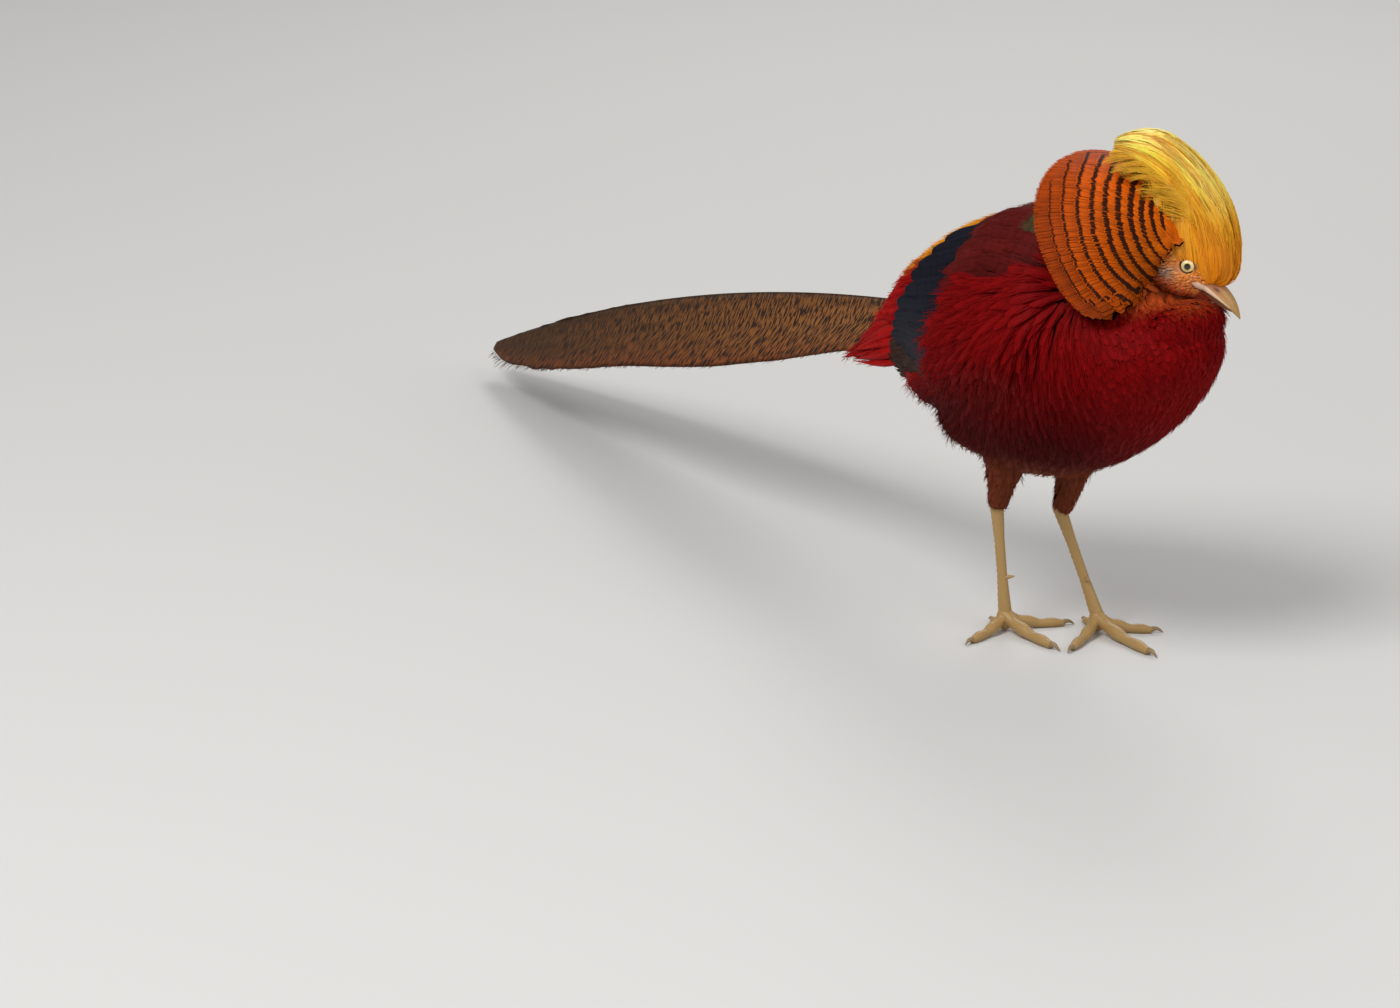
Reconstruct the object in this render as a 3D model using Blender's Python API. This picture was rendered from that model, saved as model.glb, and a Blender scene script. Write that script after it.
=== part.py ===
"""A golden pheasant cock, standing still at life size, divided into its named parts.

Bird frame: +X forward, +Y to the bird's left, +Z up, floor at Z 0, in metres. The head has a frame of
its own: F along the bill, L to its left, U up through the crown. At the end every part is shifted so
that the origin lies on the floor below the centre of the whole bird.
"""

import math
import random

import bmesh
import bpy
import numpy as np
from mathutils import Matrix, Vector

GAP = 0.0003
VANE_THICK = 0.0007
SEED = 11

# Body: rows of (x, top, bottom, half width), from the tail root to the front of the breast.
BODY_ROWS = (
    (-0.200, 0.1800, 0.1570, 0.0120),
    (-0.175, 0.1940, 0.1560, 0.0170),
    (-0.150, 0.2090, 0.1540, 0.0230),
    (-0.130, 0.2225, 0.1480, 0.0300),
    (-0.100, 0.2440, 0.1340, 0.0400),
    (-0.060, 0.2630, 0.1080, 0.0540),
    (-0.020, 0.2765, 0.1050, 0.0615),
    (0.020, 0.2725, 0.1160, 0.0640),
    (0.055, 0.2590, 0.1360, 0.0590),
    (0.080, 0.2420, 0.1590, 0.0470),
    (0.096, 0.2295, 0.1815, 0.0315),
    (0.105, 0.2215, 0.1935, 0.0200),
    (0.109, 0.2140, 0.2025, 0.0090),
)
BODY_SIDES = 18
TORSO_BACK = -0.150
TORSO_FRONT = 0.109
TORSO_RINGS = 15
TAIL_DRIFT = 0.17

# Head: its centre, turned left and bowed, and rows of (F, half width, up, down).
HEAD_CENTRE = Vector((0.083, 0.0095, 0.257))
HEAD_YAW = 30.0
HEAD_BOW = 33.0
HEAD_ROWS = (
    (-0.0200, 0.0150, 0.0165, 0.0160),
    (-0.0120, 0.0162, 0.0188, 0.0172),
    (-0.0020, 0.0160, 0.0190, 0.0172),
    (0.0070, 0.0142, 0.0160, 0.0160),
    (0.0140, 0.0105, 0.0110, 0.0125),
    (0.0190, 0.0070, 0.0062, 0.0082),
)
HEAD_SIDES = 18
HEAD_RINGS = 10
EYE_AT = (0.0045, 0.0108, 0.0045)
EYE_RADIUS = 0.0050
LID_RADIUS = 0.0039
LID_THICK = 0.0009
NAPE_CENTRE = Vector((0.040, 0.001, 0.2620))
NAPE_RADIUS = 0.030
NECK_ROOT = Vector((0.010, 0.0, 0.230))
NECK_ROOT_RADIUS = 0.032
NECK_RINGS = 8

# Bill: length past the face, the mouth line's root and drop, and the heights of its halves.
BILL_LENGTH = 0.0272
BILL_HALF_WIDTH = 0.0064
BILL_MOUTH = -0.0028
BILL_UP = 0.0078
BILL_DOWN = 0.0046
BILL_HOOK = 0.0044
BILL_RINGS = 7
BILL_SIDES = 10
MOUTH_GAP = 0.0004
NOSTRIL_AT = (0.0056, 0.0052, 0.0014)
NOSTRIL_SIZE = (0.0028, 0.0012, 0.0010)

# Crest: rows of (F, U, half width, height over the spine, depth below it) and tiers of locks.
CREST_ROWS = (
    (0.0215, 0.0125, 0.0045, 0.0045, 0.0045),
    (0.0190, 0.0190, 0.0085, 0.0080, 0.0080),
    (0.0100, 0.0290, 0.0125, 0.0100, 0.0130),
    (-0.0040, 0.0360, 0.0150, 0.0130, 0.0180),
    (-0.0200, 0.0410, 0.0160, 0.0140, 0.0200),
    (-0.0360, 0.0440, 0.0155, 0.0150, 0.0175),
    (-0.0510, 0.0440, 0.0130, 0.0145, 0.0125),
    (-0.0640, 0.0400, 0.0090, 0.0095, 0.0075),
    (-0.0740, 0.0345, 0.0045, 0.0035, 0.0035),
)
CREST_SIDES = 16
CREST_CORE_SHARE = 0.84
CREST_TIERS = ((0.03, 0.50, 7, 0.0), (0.22, 0.70, 8, 0.5), (0.42, 0.90, 8, 0.0), (0.62, 1.02, 6, 0.5))
CREST_HALF_TURN = 128.0
CREST_LIFT = 0.0052
CREST_LOCK_THICK = 0.0009

# Cape: a flared cone of square vanes from the back of the head to its rim, open at the throat.
CAPE_RIM_CENTRE = Vector((0.034, 0.0, 0.266))
CAPE_RIM_RADIUS = 0.0480
CAPE_RIM_LOWER = 0.0640
CAPE_RIM_NORMAL = Vector((0.80, 0.0, 0.60))
CAPE_START = -0.0110
CAPE_HEAD_RADIUS = 0.0205
CAPE_TURNS = (-134.0, 94.0)
CAPE_TIERS = ((0.02, 0.40, 11), (0.17, 0.60, 12), (0.32, 0.80, 13), (0.47, 1.00, 15))
CAPE_CORE_SHARE = 0.54
CAPE_REST = 0.0036
CAPE_CORE_THICK = 0.0030
CAPE_CORE_GRID = (5, 19)
CAPE_LIFT = 0.0080
CAPE_STEP = 0.0015
CAPE_ROOM = 0.0105

# Wing tiers: name, count, root (x, angle) to (x, angle), tip the same, half width, lift, tilt, rise.
# The rise is the share of a feather's length over which it climbs from its root to its lift.
WING_TIERS = (
    ("primary", 4, (-0.045, 108), (-0.045, 92), (-0.124, 136), (-0.121, 114), 0.0044, 0.0026, 12, 0.45),
    ("secondary", 5, (-0.030, 108), (-0.030, 66), (-0.110, 120), (-0.116, 90), 0.0056, 0.0054, 11, 0.45),
    ("tertial", 4, (-0.022, 84), (-0.022, 44), (-0.117, 94), (-0.088, 54), 0.0086, 0.0084, 8, 0.5),
    ("covert", 7, (0.012, 104), (0.012, 22), (-0.060, 106), (-0.070, 28), 0.0084, 0.0112, 8, 0.7),
    ("shoulder", 7, (0.034, 100), (0.028, 22), (-0.016, 104), (-0.034, 24), 0.0084, 0.0136, 8, 0.8),
)
WING_FLAT = 0.0070
WING_PAD = (-0.052, 0.040, 18.0, 112.0)
WING_PAD_GRID = (7, 7)
WING_PAD_THICK = 0.0034
WING_PAD_SINK = 0.0030

# Tail: its ridge runs from root to tip; two roofed middle vanes lie over narrower ones on each side.
TAIL_ROOT = Vector((-0.181, 0.0053, 0.1830))
TAIL_TIP = Vector((-0.7067, 0.0980, 0.0260))
TAIL_ARCH = 0.016
TAIL_ROOF = 50.0
TAIL_HALF = 0.0505
TAIL_WIDTHS = (
    (0.0, 0.36), (0.05, 0.42), (0.19, 0.56), (0.34, 0.70), (0.49, 0.88), (0.64, 1.0),
    (0.79, 0.84), (0.87, 0.66), (0.94, 0.44), (1.0, 0.12),
)
TAIL_THICK = 0.0011
TAIL_STEP = 0.0020
TAIL_SIDE_SHARES = (0.86, 0.70, 0.55, 0.42, 0.31)
SLEEVE_THICK = 0.0042
SLEEVE_END = -0.175
PLUME_COUNT = 4
PLUME_TURNS = (76.0, 134.0)
PLUME_LENGTHS = (0.026, 0.058)
PLUME_HALF = 0.0056

# Legs: for each side the hip, hock and foot joints, and the heading of each toe in degrees.
HIPS = {"right": Vector((-0.030, -0.027, 0.150)), "left": Vector((-0.010, 0.024, 0.150))}
HOCKS = {"right": Vector((-0.042, -0.021, 0.081)), "left": Vector((-0.0225, 0.0155, 0.0755))}
FEET = {"right": Vector((-0.038, -0.016, 0.0110)), "left": Vector((0.0024, 0.0253, 0.0110))}
TOE_HEADINGS = {"right": (-80.0, -4.0, 62.0, 165.0), "left": (-67.0, -7.0, 47.0, 158.0)}
TOE_LENGTHS = {"right": (0.034, 0.045, 0.038, 0.016), "left": (0.040, 0.052, 0.034, 0.020)}
TOE_RADII = (0.0032, 0.0036, 0.0032, 0.0026)
TOE_RINGS = 6
CLAW_LENGTHS = (0.0085, 0.0095, 0.0085, 0.0070)
THIGH_RADII = (0.0190, 0.0150, 0.0100, 0.0062)
TARSUS_RADII = (0.0046, 0.0032, 0.0031, 0.0044)
SCUTES = 7
SCUTE_RISE = 0.0003
SPUR_LENGTH = 0.006
SPUR_RADII = (0.0016, 0.0013, 0.0004)

MATERIALS = {
    "plumage_red": ((0.36, 0.008, 0.012), 0.75),
    "plumage_maroon": ((0.12, 0.012, 0.012), 0.7),
    "crest_gold": ((0.85, 0.46, 0.02), 0.55),
    "cape_orange": ((0.78, 0.20, 0.012), 0.6),
    "wing_dark": ((0.05, 0.03, 0.035), 0.6),
    "tail_brown": ((0.20, 0.11, 0.05), 0.7),
    "face_skin": ((0.50, 0.28, 0.10), 0.7),
    "horn": ((0.62, 0.42, 0.12), 0.4),
    "leg_scale": ((0.42, 0.30, 0.08), 0.5),
    "eye_glass": ((0.75, 0.62, 0.20), 0.1),
}


def clear_scene():
    """Removes every object that the scene starts with."""
    for item in list(bpy.data.objects):
        bpy.data.objects.remove(item, do_unlink=True)


def material(name):
    """The named material, made once."""
    if name in bpy.data.materials:
        return bpy.data.materials[name]
    made = bpy.data.materials.new(name)
    made.use_nodes = True
    shader = made.node_tree.nodes["Principled BSDF"]
    colour, roughness = MATERIALS[name]
    shader.inputs["Base Color"].default_value = (*colour, 1.0)
    shader.inputs["Roughness"].default_value = roughness
    shader.inputs["Metallic"].default_value = 0.0
    return made


def solid(name, points, faces, finish):
    """A mesh object of these points and faces, with its faces turned outwards."""
    mesh = bpy.data.meshes.new(name)
    mesh.from_pydata([tuple(p) for p in points], [], faces)
    work = bmesh.new()
    work.from_mesh(mesh)
    bmesh.ops.recalc_face_normals(work, faces=work.faces)
    work.to_mesh(mesh)
    work.free()
    mesh.materials.append(material(finish))
    made = bpy.data.objects.new(name, mesh)
    bpy.context.scene.collection.objects.link(made)
    return made


def row_at(table, key):
    """Smooth values of a table's other columns at key, which is in its first column's range."""
    rows = np.array(table, float)
    keys, values = rows[:, 0], rows[:, 1:]
    slopes = np.gradient(values, keys, axis=0)
    key = min(max(key, keys[0]), keys[-1])
    i = min(int(np.searchsorted(keys, key, side="right")) - 1, len(keys) - 2)
    span = keys[i + 1] - keys[i]
    s = (key - keys[i]) / span
    low, high = 2 * s**3 - 3 * s**2 + 1, 3 * s**2 - 2 * s**3
    out, back = (s**3 - 2 * s**2 + s) * span, (s**3 - s**2) * span
    return low * values[i] + high * values[i + 1] + out * slopes[i] + back * slopes[i + 1]


def ring(centre, side, up, half, top, bottom, count):
    """Points round an oval section whose upper and lower halves differ."""
    points = []
    for k in range(count):
        turn = 2 * math.pi * k / count
        rise = math.cos(turn)
        reach = (top if rise > 0 else bottom) * rise
        points.append(centre + side * (half * math.sin(turn)) + up * reach)
    return points


def loft(name, rings, finish):
    """A closed solid through rings of the same count, capped flat at both ends."""
    count = len(rings[0])
    points = [p for r in rings for p in r]
    faces = []
    for i in range(len(rings) - 1):
        for k in range(count):
            n = (k + 1) % count
            faces.append((i * count + k, i * count + n, (i + 1) * count + n, (i + 1) * count + k))
    faces.append(tuple(range(count)))
    faces.append(tuple((len(rings) - 1) * count + k for k in range(count)))
    return solid(name, points, faces, finish)


def tube(name, line, radii, sides, finish, up=Vector((0, 0, 1))):
    """A closed round tube along a line of points."""
    rings = []
    for i, centre in enumerate(line):
        ahead = (line[min(i + 1, len(line) - 1)] - line[max(i - 1, 0)]).normalized()
        side = ahead.cross(up).normalized()
        rings.append(ring(centre, side, side.cross(ahead), radii[i], radii[i], radii[i], sides))
    return loft(name, rings, finish)


def blade(name, stations, finish):
    """A closed thin vane. A station holds its centre, side, normal, half width, thickness and roof drop.

    Both faces are split into triangles alike. A roof drop lowers both edges below the middle.
    """
    roofed = any(s[5] for s in stations)
    points = []
    for centre, side, normal, half, thick, drop in stations:
        left, right = centre - side * half - normal * drop, centre + side * half - normal * drop
        lift = normal * (thick / 2)
        across = [left, centre, right] if roofed else [left, right]
        points += [p + lift for p in across] + [p - lift for p in reversed(across)]
    wide = 3 if roofed else 2
    count = 2 * wide
    faces = []
    for i in range(len(stations) - 1):
        near, far = i * count, (i + 1) * count
        for k in range(wide - 1):
            a, b, c, d = near + k, near + k + 1, far + k + 1, far + k
            faces += [(a, b, c), (a, c, d)]
            a, b = near + count - 1 - k, near + count - 2 - k
            c, d = far + count - 2 - k, far + count - 1 - k
            faces += [(a, b, c), (a, c, d)]
        for k in (wide - 1, count - 1):
            n = (k + 1) % count
            faces += [(near + k, near + n, far + n), (near + k, far + n, far + k)]
    for first in (0, (len(stations) - 1) * count):
        for k in range(wide - 1):
            a, b = first + k, first + k + 1
            c, d = first + count - 2 - k, first + count - 1 - k
            faces += [(a, b, c), (a, c, d)]
    return solid(name, points, faces, finish)


def apply_modifiers(item):
    """Applies every modifier of an object to its mesh."""
    graph = bpy.context.evaluated_depsgraph_get()
    mesh = bpy.data.meshes.new_from_object(item.evaluated_get(graph))
    item.modifiers.clear()
    item.data = mesh


def keep_largest(item):
    """Keeps only the largest closed surface of a mesh."""
    work = bmesh.new()
    work.from_mesh(item.data)
    bmesh.ops.triangulate(work, faces=work.faces)
    left = set(work.verts)
    best, most = set(), 0.0
    while left:
        seed = left.pop()
        found, stack = {seed}, [seed]
        while stack:
            for edge in stack.pop().link_edges:
                for other in edge.verts:
                    if other not in found:
                        found.add(other)
                        stack.append(other)
        left -= found
        faces = {f for v in found for f in v.link_faces}
        volume = sum(f.verts[0].co.dot(f.verts[1].co.cross(f.verts[2].co)) / 6 for f in faces)
        if volume > most:
            best, most = found, volume
    bmesh.ops.delete(work, geom=[v for v in work.verts if v not in best], context="VERTS")
    work.to_mesh(item.data)
    work.free()


def fuse(base, pieces, solver="MANIFOLD"):
    """Joins the pieces to the base in one Boolean union, and keeps one closed body."""
    group = bpy.data.collections.new("pieces")
    bpy.context.scene.collection.children.link(group)
    for piece in pieces:
        for holder in piece.users_collection:
            holder.objects.unlink(piece)
        group.objects.link(piece)
    join = base.modifiers.new("join", "BOOLEAN")
    join.operand_type = "COLLECTION"
    join.collection = group
    join.operation = "UNION"
    join.solver = solver
    apply_modifiers(base)
    for piece in pieces:
        bpy.data.objects.remove(piece, do_unlink=True)
    bpy.data.collections.remove(group)
    keep_largest(base)
    return base


def carve(item, neighbours, gap=GAP, solver="EXACT"):
    """Cuts an item clear of its neighbours by the gap, and keeps its largest body."""
    for neighbour in neighbours:
        cutter = bpy.data.objects.new("cutter", neighbour.data.copy())
        cutter.matrix_world = neighbour.matrix_world
        bpy.context.scene.collection.objects.link(cutter)
        work = bmesh.new()
        work.from_mesh(cutter.data)
        work.normal_update()
        shifts = [v.normal * gap * v.calc_shell_factor() for v in work.verts]
        for vertex, shift in zip(work.verts, shifts):
            vertex.co += shift
        work.to_mesh(cutter.data)
        work.free()
        cut = item.modifiers.new("cut", "BOOLEAN")
        cut.operation = "DIFFERENCE"
        cut.solver = solver
        cut.object = cutter
        apply_modifiers(item)
        bpy.data.objects.remove(cutter, do_unlink=True)
    keep_largest(item)
    return item


def tail_drift(x):
    """How far the body's middle lies to the left behind the torso, where the tail turns."""
    return max(0.0, TORSO_BACK - x) * TAIL_DRIFT


def body_ring(x, swell=0.0, sides=BODY_SIDES):
    """The body's section at x, grown outwards by swell."""
    top, bottom, half = row_at(BODY_ROWS, x)
    centre = Vector((x, tail_drift(x), (top + bottom) / 2))
    high = (top - bottom) / 2 + swell
    return ring(centre, Vector((0, 1, 0)), Vector((0, 0, 1)), half + swell, high, high, sides)


def body_surface(side):
    """The body's skin as a function of x and the angle from the back ridge down one side."""

    def lay(x, angle):
        top, bottom, half = row_at(BODY_ROWS, x)
        turn = math.radians(angle)
        high = (top - bottom) / 2
        across = tail_drift(x) + side * half * math.sin(turn)
        return Vector((x, across, (top + bottom) / 2 + high * math.cos(turn)))

    return lay


def surface_frame(lay, u, v, outwards):
    """The point at (u, v) of a surface and its outward normal."""
    step_u, step_v = 0.0005, 0.05
    across = lay(u + step_u, v) - lay(u - step_u, v)
    along = lay(u, v + step_v) - lay(u, v - step_v)
    normal = across.cross(along).normalized()
    point = lay(u, v)
    if normal.dot(point - outwards) < 0:
        normal.negate()
    return point, normal


def feather_share(share, root, square):
    """A feather's half width at a share of its length, as a share of its widest."""
    rise = min(1.0, root + (1 - root) * share / (0.6 if square else 0.3))
    start = 0.86 if square else 0.62
    fall = 1.0 if share < start else math.sqrt(max(0.0, 1 - ((share - start) / (1.02 - start)) ** 2))
    return max(0.12, min(rise, fall))


def laid_vane(name, lay, inside, start, end, lift, half, tilt, finish, shares, thick=VANE_THICK):
    """A vane that follows a surface from start to end.

    lift gives its height over the surface, and half its half width, at a share of its length.
    """
    spots = []
    for share in shares:
        u = start[0] + (end[0] - start[0]) * share
        v = start[1] + (end[1] - start[1]) * share
        point, normal = surface_frame(lay, u, v, inside(u))
        spots.append((point + normal * lift(share), normal))
    stations = []
    for i, (point, normal) in enumerate(spots):
        ahead = (spots[min(i + 1, len(spots) - 1)][0] - spots[max(i - 1, 0)][0]).normalized()
        normal = (normal - ahead * normal.dot(ahead)).normalized()
        turn = Matrix.Rotation(math.radians(tilt), 3, ahead)
        normal = turn @ normal
        side = ahead.cross(normal).normalized()
        slim = 0.75 if shares[i] > 0.95 else 1.0
        stations.append((point, side, normal, half(shares[i]), thick * slim, 0.0))
    return blade(name, stations, finish)


def head_basis():
    """The head's forward, left and up directions."""
    yaw, bow = math.radians(HEAD_YAW), math.radians(HEAD_BOW)
    forward = Vector((math.cos(bow) * math.cos(yaw), math.cos(bow) * math.sin(yaw), -math.sin(bow)))
    left = Vector((-math.sin(yaw), math.cos(yaw), 0.0))
    return forward, left, forward.cross(left)


FORWARD, LEFT, UP = head_basis()


def head_point(f, l, u):
    """A point given in the head's own frame."""
    return HEAD_CENTRE + FORWARD * f + LEFT * l + UP * u


def head_ring(f, swell=0.0):
    """The head's section at F."""
    half, up, down = row_at(HEAD_ROWS, f)
    return ring(head_point(f, 0, 0), LEFT, UP, half + swell, up + swell, down + swell, HEAD_SIDES)


def make_torso(head_shape):
    """The trunk from the rump to the breast, one loft, hollowed a little under the chin."""
    span = TORSO_FRONT - TORSO_BACK
    places = [TORSO_BACK + span * math.sin(math.pi / 2 * i / (TORSO_RINGS - 1)) for i in range(TORSO_RINGS)]
    return carve(loft("torso", [body_ring(x) for x in places], "plumage_red"), [head_shape])


def make_neck(obstacles):
    """The drawn-in neck, from inside the breast to the back of the head, cut clear of the torso."""
    back = HEAD_ROWS[0][0]
    half, up, down = HEAD_ROWS[0][1:]
    end = head_point(back, 0, 0) - FORWARD * GAP
    rings = []
    for i in range(NECK_RINGS):
        s = i / (NECK_RINGS - 1)
        centre = NECK_ROOT * (1 - s) ** 2 + (NAPE_CENTRE * 2) * s * (1 - s) + end * s**2
        ahead = ((NAPE_CENTRE - NECK_ROOT) * (1 - s) + (end - NAPE_CENTRE) * s).normalized()
        ahead = ahead.lerp(FORWARD, s**3).normalized()
        side = Vector((0, 1, 0)).lerp(LEFT, s)
        side = (side - ahead * side.dot(ahead)).normalized()
        above = ahead.cross(side)
        wide = NECK_ROOT_RADIUS * (1 - s) + NAPE_RADIUS * s * (1 - s) + half * s
        rings.append(ring(
            centre, side, above, wide,
            NECK_ROOT_RADIUS * (1 - s) + NAPE_RADIUS * s * (1 - s) + up * s,
            NECK_ROOT_RADIUS * (1 - s) + NAPE_RADIUS * s * (1 - s) + down * s, HEAD_SIDES,
        ))
    return carve(loft("neck", rings, "plumage_red"), obstacles)


def make_head():
    """The head from the nape to the root of the bill, with its sockets and the rims of the lids."""
    first, last = HEAD_ROWS[0][0], HEAD_ROWS[-1][0]
    rings = [head_ring(first + (last - first) * i / (HEAD_RINGS - 1)) for i in range(HEAD_RINGS)]
    head = loft("head", rings, "face_skin")
    lids = []
    for sign in (1, -1):
        eye = head_point(EYE_AT[0], sign * EYE_AT[1], EYE_AT[2])
        outward = eye_axis(sign)
        bpy.ops.mesh.primitive_torus_add(
            location=eye + outward * (EYE_RADIUS * 0.62),
            rotation=outward.to_track_quat("Z", "Y").to_euler(),
            major_radius=LID_RADIUS, minor_radius=LID_THICK, major_segments=12, minor_segments=5,
        )
        lid = bpy.context.object
        apply_placing(lid)
        lids.append(lid)
    head = fuse(head, lids, "EXACT")
    sockets = [eyeball("socket", sign) for sign in (1, -1)]
    carve(head, sockets)
    for socket in sockets:
        bpy.data.objects.remove(socket, do_unlink=True)
    head.data.materials.clear()
    head.data.materials.append(material("face_skin"))
    return head


def eye_axis(sign):
    """The way an eye looks: outwards, a little forward and up."""
    return (LEFT * sign + FORWARD * 0.16 + UP * 0.06).normalized()


def eyeball(name, sign):
    """One eye, a ball set in the side of the head."""
    bpy.ops.mesh.primitive_uv_sphere_add(
        segments=12, ring_count=8, radius=EYE_RADIUS,
        location=head_point(EYE_AT[0], sign * EYE_AT[1], EYE_AT[2]),
        rotation=eye_axis(sign).to_track_quat("Z", "Y").to_euler(),
    )
    ball = bpy.context.object
    ball.name = name
    apply_placing(ball)
    ball.data.materials.append(material("eye_glass"))
    return ball


def apply_placing(item):
    """Moves an object's place into its mesh."""
    bpy.context.view_layer.update()
    item.data.transform(item.matrix_world)
    item.matrix_world = Matrix.Identity(4)


def bill_line(share):
    """The mouth line's drop at a share of the bill's length."""
    return BILL_MOUTH - BILL_HOOK * share**2.0


def make_bill():
    """The upper and lower halves of the bill, parted along the mouth."""
    root = HEAD_ROWS[-1][0] + GAP
    halves = []
    forms = (("bill_upper", BILL_UP, 0.0, 1.0), ("bill_lower", 0.0, BILL_DOWN, 0.84))
    for name, top, bottom, reach in forms:
        rings = []
        for i in range(BILL_RINGS):
            s = i / (BILL_RINGS - 1)
            slim = (1 - s**1.7) * 0.93 + 0.07
            along = root + BILL_LENGTH * reach * s
            line = bill_line(s * reach) + (MOUTH_GAP / 2 if top else -MOUTH_GAP / 2)
            centre = head_point(along, 0, line)
            hook = -0.0012 * s**6 if top else 0.0
            points = []
            for k in range(BILL_SIDES):
                turn = math.pi * k / (BILL_SIDES - 1)
                across = math.cos(turn) * BILL_HALF_WIDTH * slim * (1.0 if top else 0.9)
                rise = math.sin(turn) ** 0.85 * (top - bottom) * slim
                points.append(centre + LEFT * across + UP * (rise + hook))
            rings.append(points)
        halves.append(loft(name, rings, "horn"))
    for sign in (1, -1):
        f, l, u = NOSTRIL_AT
        bpy.ops.mesh.primitive_uv_sphere_add(segments=10, ring_count=6, radius=1.0, location=(0, 0, 0))
        pit = bpy.context.object
        turn = Matrix((FORWARD, LEFT, UP)).transposed().to_4x4()
        place = Matrix.Translation(head_point(root + f, sign * l, u))
        pit.matrix_world = place @ turn @ Matrix.Diagonal((*NOSTRIL_SIZE, 1.0))
        apply_placing(pit)
        carve(halves[0], [pit], 0.0)
        bpy.data.objects.remove(pit, do_unlink=True)
    return halves


def bezier(points, share):
    """A point on the curve of three control points."""
    a, b, c = points
    return a * (1 - share) ** 2 + b * (2 * share * (1 - share)) + c * share**2


def crest_ring(share, swell=0.0):
    """The crest's section at a share of its spine: centre, up, half width, height and depth."""
    table = [(i / (len(CREST_ROWS) - 1), *row) for i, row in enumerate(CREST_ROWS)]
    f, u, half, high, deep = row_at(table, share)
    ahead = row_at(table, min(1.0, share + 0.01)) - row_at(table, max(0.0, share - 0.01))
    lead = (FORWARD * ahead[0] + UP * ahead[1]).normalized()
    return head_point(f, 0, u), LEFT.cross(lead), half + swell, high + swell, deep + swell


def crest_surface(share, angle):
    """A point on the crest's envelope: share along its spine, angle from its top."""
    centre, up, half, high, deep = crest_ring(share)
    turn = math.radians(angle)
    rise = math.cos(turn)
    beyond = max(0.0, share - 1.0) * 0.10
    lead = up.cross(LEFT)
    reach = (high if rise > 0 else deep) * rise
    return centre + lead * beyond + LEFT * (half * math.sin(turn)) + up * reach


def make_crest(obstacles):
    """The silky crest: a swept core and tiers of tapered locks from the forehead backwards."""
    draw = random.Random(SEED)
    rings = []
    for i in range(9):
        centre, up, half, high, deep = crest_ring(CREST_CORE_SHARE * i / 8)
        rings.append(ring(centre, LEFT, up, half, high, deep, CREST_SIDES))
    core = loft("crest", rings, "crest_gold")
    locks = []
    for root, tip, count, offset in CREST_TIERS:
        for j in range(count):
            angle = CREST_HALF_TURN * (2 * (j + 0.5 * offset + 0.25) / count - 1)
            end = min(1.08, tip + draw.uniform(-0.03, 0.03))

            def lift(share):
                return -0.0012 + CREST_LIFT * share

            def half(share, root=root, end=end, count=count):
                _, _, wide, high, deep = crest_ring(root + (end - root) * share)
                around = math.radians(2 * CREST_HALF_TURN / count) * (wide + min(high, deep)) / 2
                return max(0.0007, around * 0.39 * (1 - 0.8 * max(0.0, share - 0.4) / 0.6))

            locks.append(laid_vane(
                "lock", crest_surface, crest_inside, (root, angle), (end, angle), lift, half, 0.0,
                "crest_gold", (0.0, 0.3, 0.65, 1.0), CREST_LOCK_THICK,
            ))
    fuse(core, locks)
    return carve(core, obstacles, solver="MANIFOLD")


def crest_inside(share):
    """A point on the crest's spine."""
    return crest_ring(min(1.0, share))[0]


def cape_axis(share):
    """A point on the line from the back of the head to the centre of the cape's rim."""
    return head_point(CAPE_START, 0, 0.001).lerp(CAPE_RIM_CENTRE, share)


def cape_surface(share, angle):
    """A point on the cape's cone: share from head to rim, angle from the nape."""
    rim_top = Vector((-CAPE_RIM_NORMAL.z, 0, CAPE_RIM_NORMAL.x))
    turn = math.radians(angle)
    top = UP.lerp(rim_top, share).normalized()
    across = LEFT.lerp(Vector((0, 1, 0)), share)
    across = (across - top * across.dot(top)).normalized()
    lower = CAPE_RIM_RADIUS + (CAPE_RIM_LOWER - CAPE_RIM_RADIUS) * (1 - math.cos(turn)) / 2
    radius = CAPE_HEAD_RADIUS + (lower - CAPE_HEAD_RADIUS) * max(share, 0.0) ** 0.85
    point = cape_axis(share) + top * (radius * math.cos(turn)) + across * (radius * math.sin(turn))
    return over_body(point, CAPE_REST * min(1.0, max(0.0, (share - 0.3) / 0.3)))


def over_body(point, margin):
    """The point, lifted out of the body's skin to the margin over it. No margin leaves it where it is."""
    if margin <= 0.0:
        return point
    top, bottom, half = row_at(BODY_ROWS, point.x)
    middle = (top + bottom) / 2
    across, rise = point.y / (half + margin), (point.z - middle) / ((top - bottom) / 2 + margin)
    reach = math.hypot(across, rise)
    if reach >= 1.0:
        return point
    return Vector((point.x, point.y / reach, middle + (point.z - middle) / reach))


def cape_inside(share):
    """A point inside the cape's cone, which its normals point away from."""
    return cape_axis(share) - CAPE_RIM_NORMAL * 0.02


def cape_slab(name, grid, reach, beyond, high, deep):
    """A closed slab along the cape's cone, from deep under it to high over it."""
    rows, columns = grid
    first, last = CAPE_TURNS[0] - beyond, CAPE_TURNS[1] + beyond
    outer, inner = [], []
    for i in range(rows):
        share = reach[0] + (reach[1] - reach[0]) * i / (rows - 1)
        for j in range(columns):
            angle = first + (last - first) * j / (columns - 1)
            point, normal = surface_frame(cape_surface, share, angle, cape_inside(share))
            outer.append(point + normal * high)
            inner.append(point - normal * deep)
    return shell(name, outer, inner, rows, columns, "cape_orange")


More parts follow.
